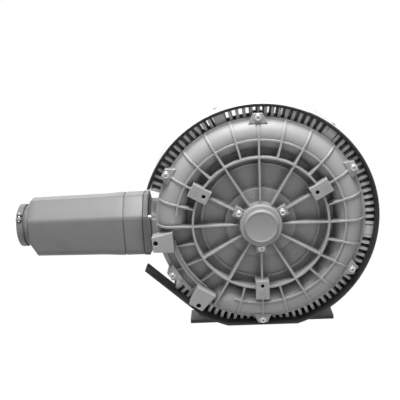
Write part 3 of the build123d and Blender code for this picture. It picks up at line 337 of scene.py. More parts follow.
class Finish(Enum):
    """Every finish of the machine."""

    # Each finish sets the strength of its painted shade in recesses and of its painted highlight on edges.
    COVER_CASTING = MetalFinish("cover_casting", tone=0.42, recess_shade=0.45, recess_reach=0.024, edge_highlight=1.0,
                                edge_round=0.002, edge_highlight_tone=0.95)
    CASING_CASTING = MetalFinish("casing_casting", tone=0.78, recess_shade=0.4, recess_reach=0.012, edge_highlight=0.5,
                                 dark_from_x=-0.304, dark_to_x=-0.28, dark=0.85)
    SILENCER_CASTING = MetalFinish("silencer_casting", tone=0.22, roughness=0.5, grain_scale=420.0,
                                   grain_height=0.8, mottle=0.3, recess_shade=0.4, edge_highlight=0.3)
    CAP_CASTING = MetalFinish("cap_casting", tone=0.38, recess_shade=0.5, recess_reach=0.02, edge_highlight=0.5,
                              edge_round=0.0018)
    PAINTED_HIGHLIGHT_EDGE = MetalFinish("painted_highlight_edge", tone=0.85, metallic=0.1, roughness=0.4, recess_shade=0.0)
    SILVER_SHEET = MetalFinish("silver_sheet", tone=0.4, metallic=0.0, roughness=0.6, shine=0.08,
                               grain_height=0.08, mottle=0.05, recess_shade=0.1, edge_highlight=0.2)
    MOTOR_CASTING = MetalFinish("motor_casting", tone=0.3, metallic=0.1, roughness=0.5, grain_scale=500.0,
                                mottle=0.1, recess_shade=0.5, edge_highlight=0.2)
    ZINC_SCREW = MetalFinish("zinc_screw", tone=0.62, metallic=0.8, roughness=0.32, grain_height=0.1,
                             mottle=0.1, recess_shade=0.5, recess_reach=0.006, edge_round=0.0005)
    MACHINED_STEEL = MetalFinish("machined_steel", tone=0.55, metallic=0.9, roughness=0.3, grain_height=0.08,
                                 mottle=0.08, recess_shade=0.3, edge_round=0.0006)
    CORE_STEEL = MetalFinish("core_steel", tone=0.3, metallic=0.7, roughness=0.5)
    BLACK_SHEET = MetalFinish("black_sheet", tone=0.03, metallic=0.0, roughness=0.42, grain_height=0.15,
                              mottle=0.2, recess_shade=0.3, edge_highlight=0.08)
    IMPELLER_CASTING = MetalFinish("impeller_casting", tone=0.5, recess_shade=0.6)
    BLACK_LINING = SoftFinish("black_lining", roughness=0.85, grain_scale=700.0, grain_height=0.5)
    SEAL_RUBBER = SoftFinish("seal_rubber", colour=(0.025, 0.025, 0.025, 1.0), roughness=0.6)
    BLACK_PLASTIC = SoftFinish("black_plastic", colour=(0.03, 0.03, 0.03, 1.0), roughness=0.45)
    FOAM = SoftFinish("foam", colour=(0.09, 0.09, 0.09, 1.0), roughness=0.95, grain_scale=300.0,
                      grain_height=0.9)
    WINDING = SoftFinish("winding", colour=(0.35, 0.12, 0.04, 1.0), roughness=0.3, grain_scale=200.0)

    def material(self) -> bpy.types.Material:
        """The scene's material of this finish's name, or a new one where there is none yet."""
        known = bpy.data.materials.get(self.value.name)
        return known or self.value.build()


SLOT_FINISH: dict[str, Finish] = {
    "cast_aluminium": Finish.CASING_CASTING, "motor_casting": Finish.MOTOR_CASTING,
    "silver_sheet": Finish.SILVER_SHEET, "black_lining": Finish.BLACK_LINING,
    "zinc_screws": Finish.ZINC_SCREW, "seal_rubber": Finish.SEAL_RUBBER,
    "impeller_aluminium": Finish.IMPELLER_CASTING, "machined_steel": Finish.MACHINED_STEEL,
    "core_steel": Finish.CORE_STEEL, "winding": Finish.WINDING, "black_plastic": Finish.BLACK_PLASTIC,
    "black_sheet": Finish.BLACK_SHEET, "tube_steel": Finish.MACHINED_STEEL, "foam": Finish.FOAM,
}
NODE_FINISH: dict[str, Finish] = {
    "cover": Finish.COVER_CASTING, "bearing_cap": Finish.COVER_CASTING,
    "silencer_collar": Finish.SILENCER_CASTING, "silencer_body": Finish.SILENCER_CASTING,
    "silencer_port_flange": Finish.SILENCER_CASTING,
}
SLOT_OF: dict[str, str] = {row["node"]: row["material_slot"] for row in frame["record"]["subparts"]}


def slot_of(node: str) -> str:
    """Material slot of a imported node."""
    return SLOT_OF.get(node, "cast_aluminium")


# ------------------------------------------------------------------------------ mesh helpers
def new_object(name: str, bm: bmesh.types.BMesh, finish: Finish,
               smooth_angle: float = 35.0) -> bpy.types.Object:
    """Object from a bmesh in the machine frame, moved to the row frame.

    Args:
        name: Name of the piece.
        bm: Geometry in millimetres; it is freed.
        finish: Its finish.
        smooth_angle: Edges sharper than this stay sharp, in degrees.

    Returns:
        The object, at the origin.
    """
    bmesh.ops.remove_doubles(bm, verts=bm.verts, dist=0.01)
    bmesh.ops.recalc_face_normals(bm, faces=bm.faces)
    limit = math.radians(smooth_angle)
    for face in bm.faces:
        face.smooth = True
    for edge in bm.edges:
        edge.smooth = len(edge.link_faces) == 2 and edge.calc_face_angle(0.0) < limit
    for vert in bm.verts:
        vert.co = place(*vert.co)
    mesh = bpy.data.meshes.new(name)
    bm.to_mesh(mesh)
    bm.free()
    obj = bpy.data.objects.new(name, mesh)
    bpy.context.scene.collection.objects.link(obj)
    mesh.materials.append(finish.material())
    return obj


def bridge(bm: bmesh.types.BMesh, loops: Sequence[Sequence[bmesh.types.BMVert]],
           closed: bool = False) -> None:
    """Skin rings of vertices in their order.

    Args:
        bm: Mesh that holds the rings.
        loops: Rings of one length each.
        closed: Skin the last ring to the first as well.
    """
    after = list(loops[1:]) + (list(loops[:1]) if closed else [])
    for one, two in zip(loops, after):
        for k in range(len(one)):
            n = (k + 1) % len(one)
            bm.faces.new((one[k], one[n], two[n], two[k]))


def add_lathe(bm: bmesh.types.BMesh, section: Sequence[Point2], start: float = 0.0,
              sweep: float = FULL_TURN, steps: int = 192) -> None:
    """Add a ring swept about the shaft.

    Args:
        bm: Mesh to add to.
        section: Closed section of (r, y) points.
        start: First angle, in degrees.
        sweep: Angle swept, in degrees.
        steps: Number of steps in the sweep.
    """
    full = sweep == FULL_TURN
    count = steps if full else steps + 1
    loops = []
    for i in range(count):
        angle = start + sweep * i / steps
        loop = []
        for r, y in section:
            x, z = polar(r, angle)
            loop.append(bm.verts.new((x, y, z)))
        loops.append(loop)
    bridge(bm, loops, closed=full)
    if not full:
        bm.faces.new(loops[0])
        bm.faces.new(reversed(loops[-1]))


def add_prism(bm: bmesh.types.BMesh, outline: Sequence[Point2], y0: float, y1: float,
              hole: Point3, hole_steps: int = 24) -> None:
    """Add a plate with one round hole through it.

    Args:
        bm: Mesh to add to.
        outline: Corners in (x, z).
        y0: First face's station.
        y1: Second face's station.
        hole: The hole's (x, z, radius).
        hole_steps: Facets of the hole.
    """
    hx, hz, hr = hole
    rims = []
    for y in (y0, y1):
        outer = [bm.verts.new((x, y, z)) for x, z in outline]
        edges = [bm.edges.new((a, b)) for a, b in zip(outer, outer[1:] + outer[:1])]
        inner = [bm.verts.new((hx + hr * math.cos(t), y, hz + hr * math.sin(t))) for t in turns(hole_steps)]
        edges += [bm.edges.new((a, b)) for a, b in zip(inner, inner[1:] + inner[:1])]
        bmesh.ops.triangle_fill(bm, use_beauty=True, edges=edges)
        rims.append((outer, inner))
    for pair in zip(*rims):
        bridge(bm, pair)


def rounded_outline(points: Sequence[Point2], radius: float, steps: int = 4) -> list[Point2]:
    """Closed outline with each corner replaced by a short arc.

    Args:
        points: Corners, in order.
        radius: Distance from a corner at which its arc starts.
        steps: Straight pieces of each arc.

    Returns:
        Points of the rounded outline.
    """
    out: list[Point2] = []
    count = len(points)
    for i in range(count):
        here = Vector(points[i])
        before = (Vector(points[i - 1]) - here).normalized()
        after = (Vector(points[(i + 1) % count]) - here).normalized()
        a, b = here + before * radius, here + after * radius
        for k in range(steps + 1):
            t = k / steps
            p = a * (1 - t) ** 2 + here * (2 * t * (1 - t)) + b * t ** 2
            out.append((p.x, p.y))
    return out


def bevelled(obj: bpy.types.Object, width: float, segments: int = 2, angle: float = 40.0) -> bpy.types.Object:
    """Round a piece's edges in its mesh.

    Args:
        obj: The piece.
        width: Width of the rounding, in millimetres.
        segments: Facets of the rounding.
        angle: Only edges sharper than this are rounded, in degrees.

    Returns:
        The same piece.
    """
    modifier = obj.modifiers.new("bevel", "BEVEL")
    modifier.width = width * MM
    modifier.segments = segments
    modifier.limit_method = "ANGLE"
    modifier.angle_limit = math.radians(angle)
    modifier.harden_normals = False
    return baked(obj)


def baked(obj: bpy.types.Object) -> bpy.types.Object:
    """Turn a piece's modifiers into plain mesh."""
    bpy.context.view_layer.update()
    graph = bpy.context.evaluated_depsgraph_get()
    mesh = bpy.data.meshes.new_from_object(obj.evaluated_get(graph))
    obj.modifiers.clear()
    obj.data = mesh
    return obj


# ------------------------------------------------------------------------------ geometry nodes
def set_inputs(modifier: bpy.types.NodesModifier, values: dict[str, Any]) -> None:
    """Set a modifier's inputs by their names, through the sockets' identifiers."""
    for item in modifier.node_group.interface.items_tree:
        if item.item_type == "SOCKET" and item.in_out == "INPUT" and item.name in values:
            modifier[item.identifier] = values[item.name]


def new_tree(name: str, inputs: Sequence[tuple[str, str]]) -> tuple[Graph, bpy.types.Node, bpy.types.Node]:
    """Geometry node tree with a geometry in and out and named inputs.

    Args:
        name: Name of the tree.
        inputs: (label, socket type) pairs.

    Returns:
        The graph with its entry and exit nodes.
    """
    tree = bpy.data.node_groups.new(name, "GeometryNodeTree")
    tree.interface.new_socket("Geometry", in_out="INPUT", socket_type="NodeSocketGeometry")
    for label, kind in inputs:
        tree.interface.new_socket(label, in_out="INPUT", socket_type=kind)
    tree.interface.new_socket("Geometry", in_out="OUTPUT", socket_type="NodeSocketGeometry")
    g = Graph(tree)
    return g, g.node("NodeGroupInput"), g.node("NodeGroupOutput")


def close_tree(g: Graph, shape: Sock, material: Sock, exit_node: bpy.types.Node) -> None:
    """End a tree in Realize Instances and Set Material.

    Args:
        g: Graph of the tree.
        shape: Geometry to close with.
        material: Material of the geometry.
        exit_node: The tree's output node.
    """
    real = g.add("GeometryNodeRealizeInstances", None, {"Geometry": shape})
    dressed = g.add("GeometryNodeSetMaterial", None, {"Geometry": real, "Material": material})
    g.tree.links.new(dressed.socket, exit_node.inputs[0])


def radial_tree() -> bpy.types.NodeTree:
    """Tree that repeats an item about the shaft."""
    known = bpy.data.node_groups.get("radial_pattern")
    if known:
        return known
    g, entry, leave = new_tree("radial_pattern", (
        ("Count", "NodeSocketInt"), ("First", "NodeSocketFloat"), ("Step", "NodeSocketFloat"),
        ("Centre", "NodeSocketVector"), ("Material", "NodeSocketMaterial")))
    value = {s.name: Sock(g, s) for s in entry.outputs if s.name}
    centred = g.add("GeometryNodeTransform", None, {
        "Geometry": value["Geometry"],
        "Translation": g.add("ShaderNodeVectorMath", {"operation": "SCALE"},
                             {0: value["Centre"], "Scale": -1.0})})
    points = g.add("GeometryNodePoints", None, {"Count": value["Count"], "Position": value["Centre"]})
    index = g.add("GeometryNodeInputIndex")
    angle = index * value["Step"] + value["First"]
    turn = g.add("ShaderNodeCombineXYZ", None, {"Y": angle * -1.0})
    copies = g.add("GeometryNodeInstanceOnPoints", None,
                   {"Points": points, "Instance": centred, "Rotation": turn})
    close_tree(g, copies, value["Material"], leave)
    return g.tree


def repeated(obj: bpy.types.Object, count: int, first: float, finish: Finish) -> bpy.types.Object:
    """Repeat a piece about the shaft with the radial tree and bake it.

    Args:
        obj: Piece modelled at angle 0.
        count: Number of copies.
        first: Angle of the first copy, in degrees.
        finish: Finish of the copies.

    Returns:
        The same object, holding all copies.
    """
    modifier = obj.modifiers.new("pattern", "NODES")
    modifier.node_group = radial_tree()
    set_inputs(modifier, {"Count": count, "First": math.radians(first),
                          "Step": math.radians(FULL_TURN / count), "Centre": ORIGIN,
                          "Material": finish.material()})
    return baked(obj)


def sweep_tree() -> bpy.types.NodeTree:
    """Tree that turns a line of edges into a round bead."""
    known = bpy.data.node_groups.get("bead_sweep")
    if known:
        return known
    g, entry, leave = new_tree("bead_sweep", (
        ("Radius", "NodeSocketFloat"), ("Facets", "NodeSocketInt"), ("Material", "NodeSocketMaterial")))
    value = {s.name: Sock(g, s) for s in entry.outputs if s.name}
    line = g.add("GeometryNodeMeshToCurve", None, {"Mesh": value["Geometry"]})
    ring = g.add("GeometryNodeCurvePrimitiveCircle", None,
                 {"Resolution": value["Facets"], "Radius": value["Radius"]})
    bead = g.add("GeometryNodeCurveToMesh", None,
                 {"Curve": line, "Profile Curve": ring, "Fill Caps": True})
    smooth = g.add("GeometryNodeSetShadeSmooth", None, {"Geometry": bead})
    close_tree(g, smooth, value["Material"], leave)
    return g.tree


def bead(name: str, points: Sequence[Point3], radius: float, finish: Finish,
         facets: int) -> bpy.types.Object:
    """Round bead along a line of points in the machine frame.

    Args:
        name: Name of the piece.
        points: The line, in millimetres.
        radius: The bead's radius, in millimetres.
        finish: Its finish.
        facets: Facets around it.

    Returns:
        The baked piece.
    """
    mesh = bpy.data.meshes.new(name)
    edges = [(i, i + 1) for i in range(len(points) - 1)]
    mesh.from_pydata([place(*p) for p in points], edges, [])
    obj = bpy.data.objects.new(name, mesh)
    bpy.context.scene.collection.objects.link(obj)
    modifier = obj.modifiers.new("bead", "NODES")
    modifier.node_group = sweep_tree()
    set_inputs(modifier, {"Radius": radius * MM, "Facets": facets, "Material": finish.material()})
    return baked(obj)


def joined(name: str, parts: Sequence[bpy.types.Object]) -> bpy.types.Object:
    """Join baked parts into one piece, keeping their materials.

    Args:
        name: Name of the piece.
        parts: The parts; the first one stays and takes the rest.

    Returns:
        The piece.
    """
    first = parts[0]
    with bpy.context.temp_override(active_object=first, object=first, selected_objects=list(parts),
                                   selected_editable_objects=list(parts)):
        bpy.ops.object.join()
    first.name = name
    first.data.name = name
    return first


def fit_in(obj: bpy.types.Object, nodes: Iterable[str] = ()) -> None:
    """Let a piece ride on the housing.

    Args:
        obj: The piece.
        nodes: CAD nodes that it stands for.
    """
    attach(obj, HOUSING)
    if nodes:
        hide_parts(*nodes)
    LOG.info("piece %s, %d faces", obj.name, len(obj.data.polygons))


# ------------------------------------------------------------------------------ pieces
@dataclass
class SocketScrews:
    """Socket head screws on a pitch circle, each on its washer."""

    name: str
    node: str
    pitch_r: float
    count: int
    first: float
    seat_y: float
    head_r: float = 7.0
    head_h: float = 8.0
    washer_r: float = 9.5
    washer_t: float = 1.4
    washer_edge: float = 0.4
    head_edge: float = 0.9
    socket: float = 3.6
    socket_edge: float = 0.5
    socket_depth: float = 4.4
    steps: int = 24

    def rings(self) -> list[tuple[float, float, bool]]:
        """(radius, y, hexagonal) of every ring, from the washer's back to the socket's floor."""
        y, top = self.seat_y, self.seat_y - self.head_h
        shelf = y - self.washer_t
        return [(self.washer_r, y, False), (self.washer_r, shelf + self.washer_edge, False),
                (self.washer_r - self.washer_edge, shelf, False), (self.head_r, shelf, False),
                (self.head_r, top + self.head_edge, False), (self.head_r - self.head_edge, top, False),
                (self.socket + self.socket_edge, top, False), (self.socket, top + self.socket_edge, True),
                (self.socket, top + self.socket_depth, True)]

    def build(self) -> None:
        """One screw, repeated about the shaft."""
        bm = bmesh.new()
        loops = []
        sixth = math.pi / 3
        for radius, y, hexagon in self.rings():
            loop = []
            for angle in turns(self.steps):
                folded = (angle + sixth / 2) % sixth - sixth / 2
                reach = radius / math.cos(folded) if hexagon else radius
                x, z = self.pitch_r + reach * math.cos(angle), reach * math.sin(angle)
                loop.append(bm.verts.new((x, y, z)))
            loops.append(loop)
        bridge(bm, loops)
        bm.faces.new(loops[0])
        bm.faces.new(loops[-1])
        obj = new_object(self.name, bm, Finish.ZINC_SCREW, smooth_angle=28.0)
        obj = repeated(obj, self.count, self.first, Finish.ZINC_SCREW)
        fit_in(obj, (self.node,))


@dataclass
class CowlTrim:
    """Black edge profile along the cowl's front edge, and a light bead on the upper left that is a painted
    highlight where the light falls on the edge.
    """

    band_r: float = 300.0
    front_y: float = -21.0
    floor_z: float = -285.5
    wing_dist: float = 296.3
    wing_angle: float = 227.1
    wing_reach: float = 139.4
    open_from: float = 161.0
    highlight_to: float = 66.0
    trim_r: float = 3.0
    edge_r: float = 1.1
    arc_step: float = 3.0
    root_steps: int = 6

    def wing_end(self, inset: float) -> Point2:
        """Free end of the straight sheet on the lower left."""
        nx, nz = polar(self.wing_dist - inset, self.wing_angle)
        tx, tz = polar(self.wing_reach, self.wing_angle - 90.0)
        return nx + tx, nz + tz

    def path(self, inset: float, y: float, start: float, whole: bool) -> list[Point3]:
        """Line along the sheet's edge, clockwise from an angle.

        Args:
            inset: Distance inside the sheet's outer face.
            y: Station of the line.
            start: First angle.
            whole: Follow the sheet to its free end, or stop where the painted highlight ends.

        Returns:
            Points of the line.
        """
        reach = self.band_r - inset
        flat = math.degrees(math.asin((-self.floor_z - inset) / reach))
        stop = -flat if whole else self.highlight_to
        steps = int(abs(start - stop) / self.arc_step)
        arc = [start + (stop - start) * k / steps for k in range(steps + 1)]
        points = [polar(reach, angle) for angle in arc]
        if whole:
            root = self.wing_angle + math.degrees(math.acos((self.wing_dist - inset) / reach)) - FULL_TURN
            left = flat - FULL_TURN / 2
            points += [polar(reach, left + (root - left) * k / self.root_steps)
                       for k in range(self.root_steps + 1)]
            points.append(self.wing_end(inset))
        return [(x, y, z) for x, z in points]

    def build(self) -> None:
        """Trim and painted highlight bead."""
        trim = bead("cowl_edge_trim", self.path(self.trim_r, self.front_y, self.open_from, True), self.trim_r,
                    Finish.SEAL_RUBBER, 12)
        fit_in(trim)
        # Painted highlight: a light bead along the edge only on the upper left, where the light falls.
        front = self.front_y - self.edge_r
        edge = bead("cowl_painted_highlight_edge", self.path(self.edge_r, front, self.open_from, False), self.edge_r,
                    Finish.PAINTED_HIGHLIGHT_EDGE, 8)
        fit_in(edge)


@dataclass
class Silencer:
    """Cast outlet silencer: collar, tapered body and port flange with its clamp.

    The lips are (distance, scale) pairs that round an end. The end's have a fall of the cut corner too.
    """

    y: float = 64.0
    z: float = -10.0
    half_w: float = 70.0
    half_h: float = 77.0
    chamfer: float = 47.0
    chamfer_low: float = 12.0
    corner_r: float = 8.0
    joint_x: float = -302.0
    seam_x: float = -352.0
    seam_w: float = 2.6
    seam_depth: float = 0.035
    end_x: float = -603.0
    cut_rise: float = 30.0
    cut_run: float = 17.0
    end_scale: float = 0.93
    end_lip: tuple[Point3, ...] = ((0.0, 0.955, 0.0), (1.5, 0.985, 2.0), (4.5, 1.0, 6.0))
    waist_x: float = -405.0
    waist_scale: float = 0.967
    shoulder: Point2 = (26.0, 0.988)
    seam_lip: tuple[Point2, ...] = ((3.0, 1.0), (0.6, 0.997), (0.0, 0.985))
    collar_lip: tuple[Point2, ...] = ((0.0, 0.985), (0.8, 0.997), (3.0, 1.0))
    joint_lip: tuple[Point2, ...] = ((3.0, 1.0), (0.8, 0.994), (0.0, 0.98))
    port_x: float = -636.0
    port_r: float = 57.0
    port_len: float = 40.0
    flange_w: float = 17.0
    groove_w: float = 3.0
    groove_d: float = 5.5
    sleeve_d: float = 2.0
    bore_r: float = 42.5
    port_steps: int = 72
    lug_angle: float = 38.0
    lug_len: float = 15.0
    lug_h: float = 13.0
    lug_x: float = 9.0
    lug_lift: float = 0.5
    lugs: tuple[Point2, ...] = ((-7.0, 8.0), (5.5, 6.0))
    lug_edge: float = 1.6
    bolt_r: float = 3.2
    bolt_span: Point2 = (-13.5, 11.5)
    bolt_lift: float = 1.5

    def section(self, scale: float, lift: float = 0.0) -> list[Point2]:
        """Rounded section about the duct's axis.

        Args:
            scale: Share of the full section.
            lift: Height by which its underside is raised.

        Returns:
            Points in (y, z).
        """
        w, h, top, low = self.half_w, self.half_h, self.chamfer, self.chamfer_low
        base = -h + lift
        corners = [(-w, base + low), (-w + low, base), (w - low, base), (w, base + low),
                   (w, h - top), (w - top, h), (-w + top, h), (-w, h - top)]
        shape = rounded_outline(corners, self.corner_r)
        return [(self.y + scale * y, self.z + scale * z) for y, z in shape]

    def shell(self, name: str, stations: Sequence[Point3]) -> bpy.types.Object:
        """Closed loft.

        Args:
            name: Name of the piece.
            stations: (x, scale, lift) of each section.

        Returns:
            The piece.
        """
        bm = bmesh.new()
        loops = [[bm.verts.new((x, y, z)) for y, z in self.section(scale, lift)]
                 for x, scale, lift in stations]
        bridge(bm, loops)
        bm.faces.new(loops[0])
        bm.faces.new(loops[-1])
        return new_object(name, bm, Finish.SILENCER_CASTING, smooth_angle=32.0)

    def body(self) -> None:
        """Tapered body with rounded end, cut lower corner and a lip at the seam."""
        groove = self.seam_x - self.seam_w / 2
        back, share = self.shoulder
        stations = [(self.end_x + x, self.end_scale * scale, self.cut_rise - fall)
                    for x, scale, fall in self.end_lip]
        stations += [(self.end_x + self.cut_run, self.end_scale, 0.0),
                     (self.waist_x, self.waist_scale, 0.0), (self.seam_x - back, share, 0.0)]
        stations += [(groove - x, scale, 0.0) for x, scale in self.seam_lip]
        fit_in(self.shell("silencer_body_casting", stations), ("silencer_body",))

    def collar(self) -> None:
        """Collar between the seam groove and the outlet neck."""
        low, high = self.seam_x - self.seam_w / 2, self.seam_x + self.seam_w / 2
        deep = 1.0 - self.seam_depth
        stations = [(low, deep, 0.0), (high, deep, 0.0)]
        stations += [(high + x, scale, 0.0) for x, scale in self.collar_lip]
        stations += [(self.joint_x - x, scale, 0.0) for x, scale in self.joint_lip]
        fit_in(self.shell("silencer_collar_casting", stations), ("silencer_collar",))

    def port(self) -> None:
        """Port flange: grooved ring with its bore."""
        x0, r, bore = self.port_x, self.port_r, self.bore_r
        flange, end = x0 + self.flange_w, x0 + self.port_len
        groove = flange + self.groove_w
        root, sleeve = r - self.groove_d, r - self.sleeve_d
        rings = [(x0 + 1.5, bore + 1.0), (x0, bore + 2.5), (x0, r - 2.0), (x0 + 0.6, r - 0.6), (x0 + 2, r),
                 (flange - 2, r), (flange - 0.5, r - 1.5), (flange, root), (groove, root),
                 (groove + 0.5, sleeve - 1.0), (groove + 2, sleeve), (end - 7, sleeve), (end, sleeve),
                 (end, bore), (x0 + 3, bore)]
        bm = bmesh.new()
        loops = [[bm.verts.new((x, self.y + radius * math.cos(t), self.z + radius * math.sin(t)))
                  for t in turns(self.port_steps)] for x, radius in rings]
        bridge(bm, loops, closed=True)
        ring = new_object("silencer_port_casting", bm, Finish.SILENCER_CASTING, smooth_angle=30.0)
        fit_in(ring, ("silencer_port_flange",))

    def clamp(self) -> None:
        """Clamp lugs on the port's upper front, and their bolt."""
        bm = bmesh.new()
        turn = math.radians(self.lug_angle)
        out = Vector((0.0, -math.cos(turn), math.sin(turn)))
        side = Vector((0.0, math.sin(turn), math.cos(turn)))
        axes = Matrix((Vector((1, 0, 0)), out, side)).transposed()
        middle = Vector((self.port_x + self.lug_x, self.y, self.z)) + out * (self.port_r + self.lug_lift)
        for across, width in self.lugs:
            for vert in bmesh.ops.create_cube(bm, size=1.0)["verts"]:
                local = Vector((vert.co.x * self.lug_len, vert.co.y * self.lug_h, vert.co.z * width))
                vert.co = middle + side * across + axes @ local
        lugs = bevelled(new_object("silencer_port_clamp", bm, Finish.SILENCER_CASTING), self.lug_edge)
        fit_in(lugs)
        ends = [tuple(middle + side * across + out * self.bolt_lift) for across in self.bolt_span]
        bolt = bead("silencer_port_bolt", ends, self.bolt_r, Finish.ZINC_SCREW, 6)
        fit_in(bolt)

    def build(self) -> None:
        """All of the silencer's outside."""
        self.body()
        self.collar()
        self.port()
        self.clamp()


@dataclass
class CoverDetails:
    """Small cast details on the cover: ejector marks, rim lines and the bearing cap's rounded disc."""

    wall: float = 1.0
    mark_foot: float = 1.0
    mark_crest: float = -0.7
    mark_edge: float = 0.3
    mark_steps: int = 20
    ridge_w: float = 2.6
    ridge_edge: float = 0.5
    ridge_y: tuple[float, float] = (-21.5, -25.0)
    ridge_r: tuple[float, float] = (222.0, 235.0)
    ridge_from: float = 190.0
    ridge_sweep: float = 40.0
    ridge_steps: int = 40
    cap_r: float = 53.0
    cap_seat: float = -35.0
    cap_step: float = -58.0
    neck_r: float = 42.0
    lip_r: float = 38.4
    lip_y: float = -65.7
    disc_y: float = -64.0
    room_r: float = 38.0
    room_y: float = -54.0
    axis_r: float = 0.01
    cap_steps: int = 96
    ear_reach: Point2 = (40.0, 75.0)
    ear_half_w: float = 13.0
    ear_corner: float = 3.0
    ear_y: Point2 = (-44.0, -36.0)
    ear_hole: Point3 = (62.0, 0.0, 4.6)
    ear_edge: float = 1.2
    ear_count: int = 3
    ear_first: float = 30.0

    def marks(self, name: str, size: float, r: float, y: float, count: int, first: float) -> None:
        """Round ejector marks on a flat of the casting.

        Args:
            name: Name of the piece.
            size: Radius of a mark.
            r: Pitch radius of the marks.
            y: Station of the flat.
            count: Number of marks.
            first: Angle of the first one.
        """
        bm = bmesh.new()
        inner, foot, crest = size - self.wall, self.mark_foot, self.mark_crest
        section = ((size, foot), (size - self.mark_edge, crest), (inner + self.mark_edge, crest),
                   (inner, foot))
        loops = [[bm.verts.new((r + radius * math.cos(t), y + height, radius * math.sin(t)))
                  for t in turns(self.mark_steps)] for radius, height in section]
        bridge(bm, loops, closed=True)
        obj = repeated(new_object(name, bm, Finish.COVER_CASTING), count, first, Finish.COVER_CASTING)
        fit_in(obj)

    def ridges(self) -> None:
        """Two fine ridges along the arc rib over the stripper, with a channel between them."""
        bm = bmesh.new()
        root, crest = self.ridge_y
        low, high = self.ridge_r
        edge = self.ridge_edge
        for r0, r1 in ((low, low + self.ridge_w), (high - self.ridge_w, high)):
            section = [(r0, root), (r0 + edge, crest), (r1 - edge, crest), (r1, root)]
            add_lathe(bm, section, self.ridge_from, self.ridge_sweep, self.ridge_steps)
        fit_in(new_object("cover_stripper_ridges", bm, Finish.COVER_CASTING))

    def cap_section(self) -> list[Point2]:
        """(r, y) section of the bearing cap: body, neck, raised lip, disc and the room inside."""
        r, step, neck = self.cap_r, self.cap_step, self.neck_r
        lip, lip_y, disc = self.lip_r, self.lip_y, self.disc_y
        body = [(self.room_r + 6.0, self.cap_seat), (r, self.cap_seat), (r, step + 2.5),
                (r - 1.2, step + 0.6), (r - 3.5, step)]
        rise = [(neck + 2.5, step), (neck + 0.8, step - 0.8), (neck, step - 2.5), (neck - 1.0, step - 5.9)]
        crest = [(lip + 1.4, lip_y + 0.4), (lip, lip_y), (lip - 1.2, lip_y + 0.4), (lip - 2.2, disc - 0.4),
                 (lip - 3.9, disc)]
        room = [(self.axis_r, disc), (self.axis_r, self.room_y), (self.room_r, self.room_y),
                (self.room_r, self.cap_seat)]
        return body + rise + crest + room

    def cap_ears(self) -> bpy.types.Object:
        """Screw ears around the bearing cap."""
        bm = bmesh.new()
        (near, far), half = self.ear_reach, self.ear_half_w
        corners = [(near, -half), (far, -half), (far, half), (near, half)]
        add_prism(bm, rounded_outline(corners, self.ear_corner), *self.ear_y, hole=self.ear_hole)
        ear = bevelled(new_object("ears", bm, Finish.CAP_CASTING), self.ear_edge)
        return repeated(ear, self.ear_count, self.ear_first, Finish.CAP_CASTING)

    def cap(self) -> None:
        """Bearing cap with its step, raised lip, shallow disc and ears."""
        bm = bmesh.new()
        add_lathe(bm, self.cap_section(), steps=self.cap_steps)
        disc = new_object("bearing_cap_casting", bm, Finish.CAP_CASTING, smooth_angle=40.0)
        cap = joined("bearing_cap_casting", [disc, self.cap_ears()])
        fit_in(cap, ("bearing_cap",))

    def build(self) -> None:
        """All details."""
        self.marks("cover_web_marks", size=9.5, r=122.0, y=-10.0, count=6, first=15.0)
        self.marks("cover_plateau_marks", size=7.5, r=75.0, y=-22.5, count=3, first=-15.0)
        self.marks("cover_pad_marks", size=6.5, r=184.0, y=-55.0, count=3, first=30.0)
        self.ridges()
        self.cap()


# ------------------------------------------------------------------------------ scene around the machine
@dataclass(frozen=True)
class Lamp:
    """Square soft lamp: place and side in metres, power in watts."""

    name: str
    spot: Point3
    size: float
    power: float


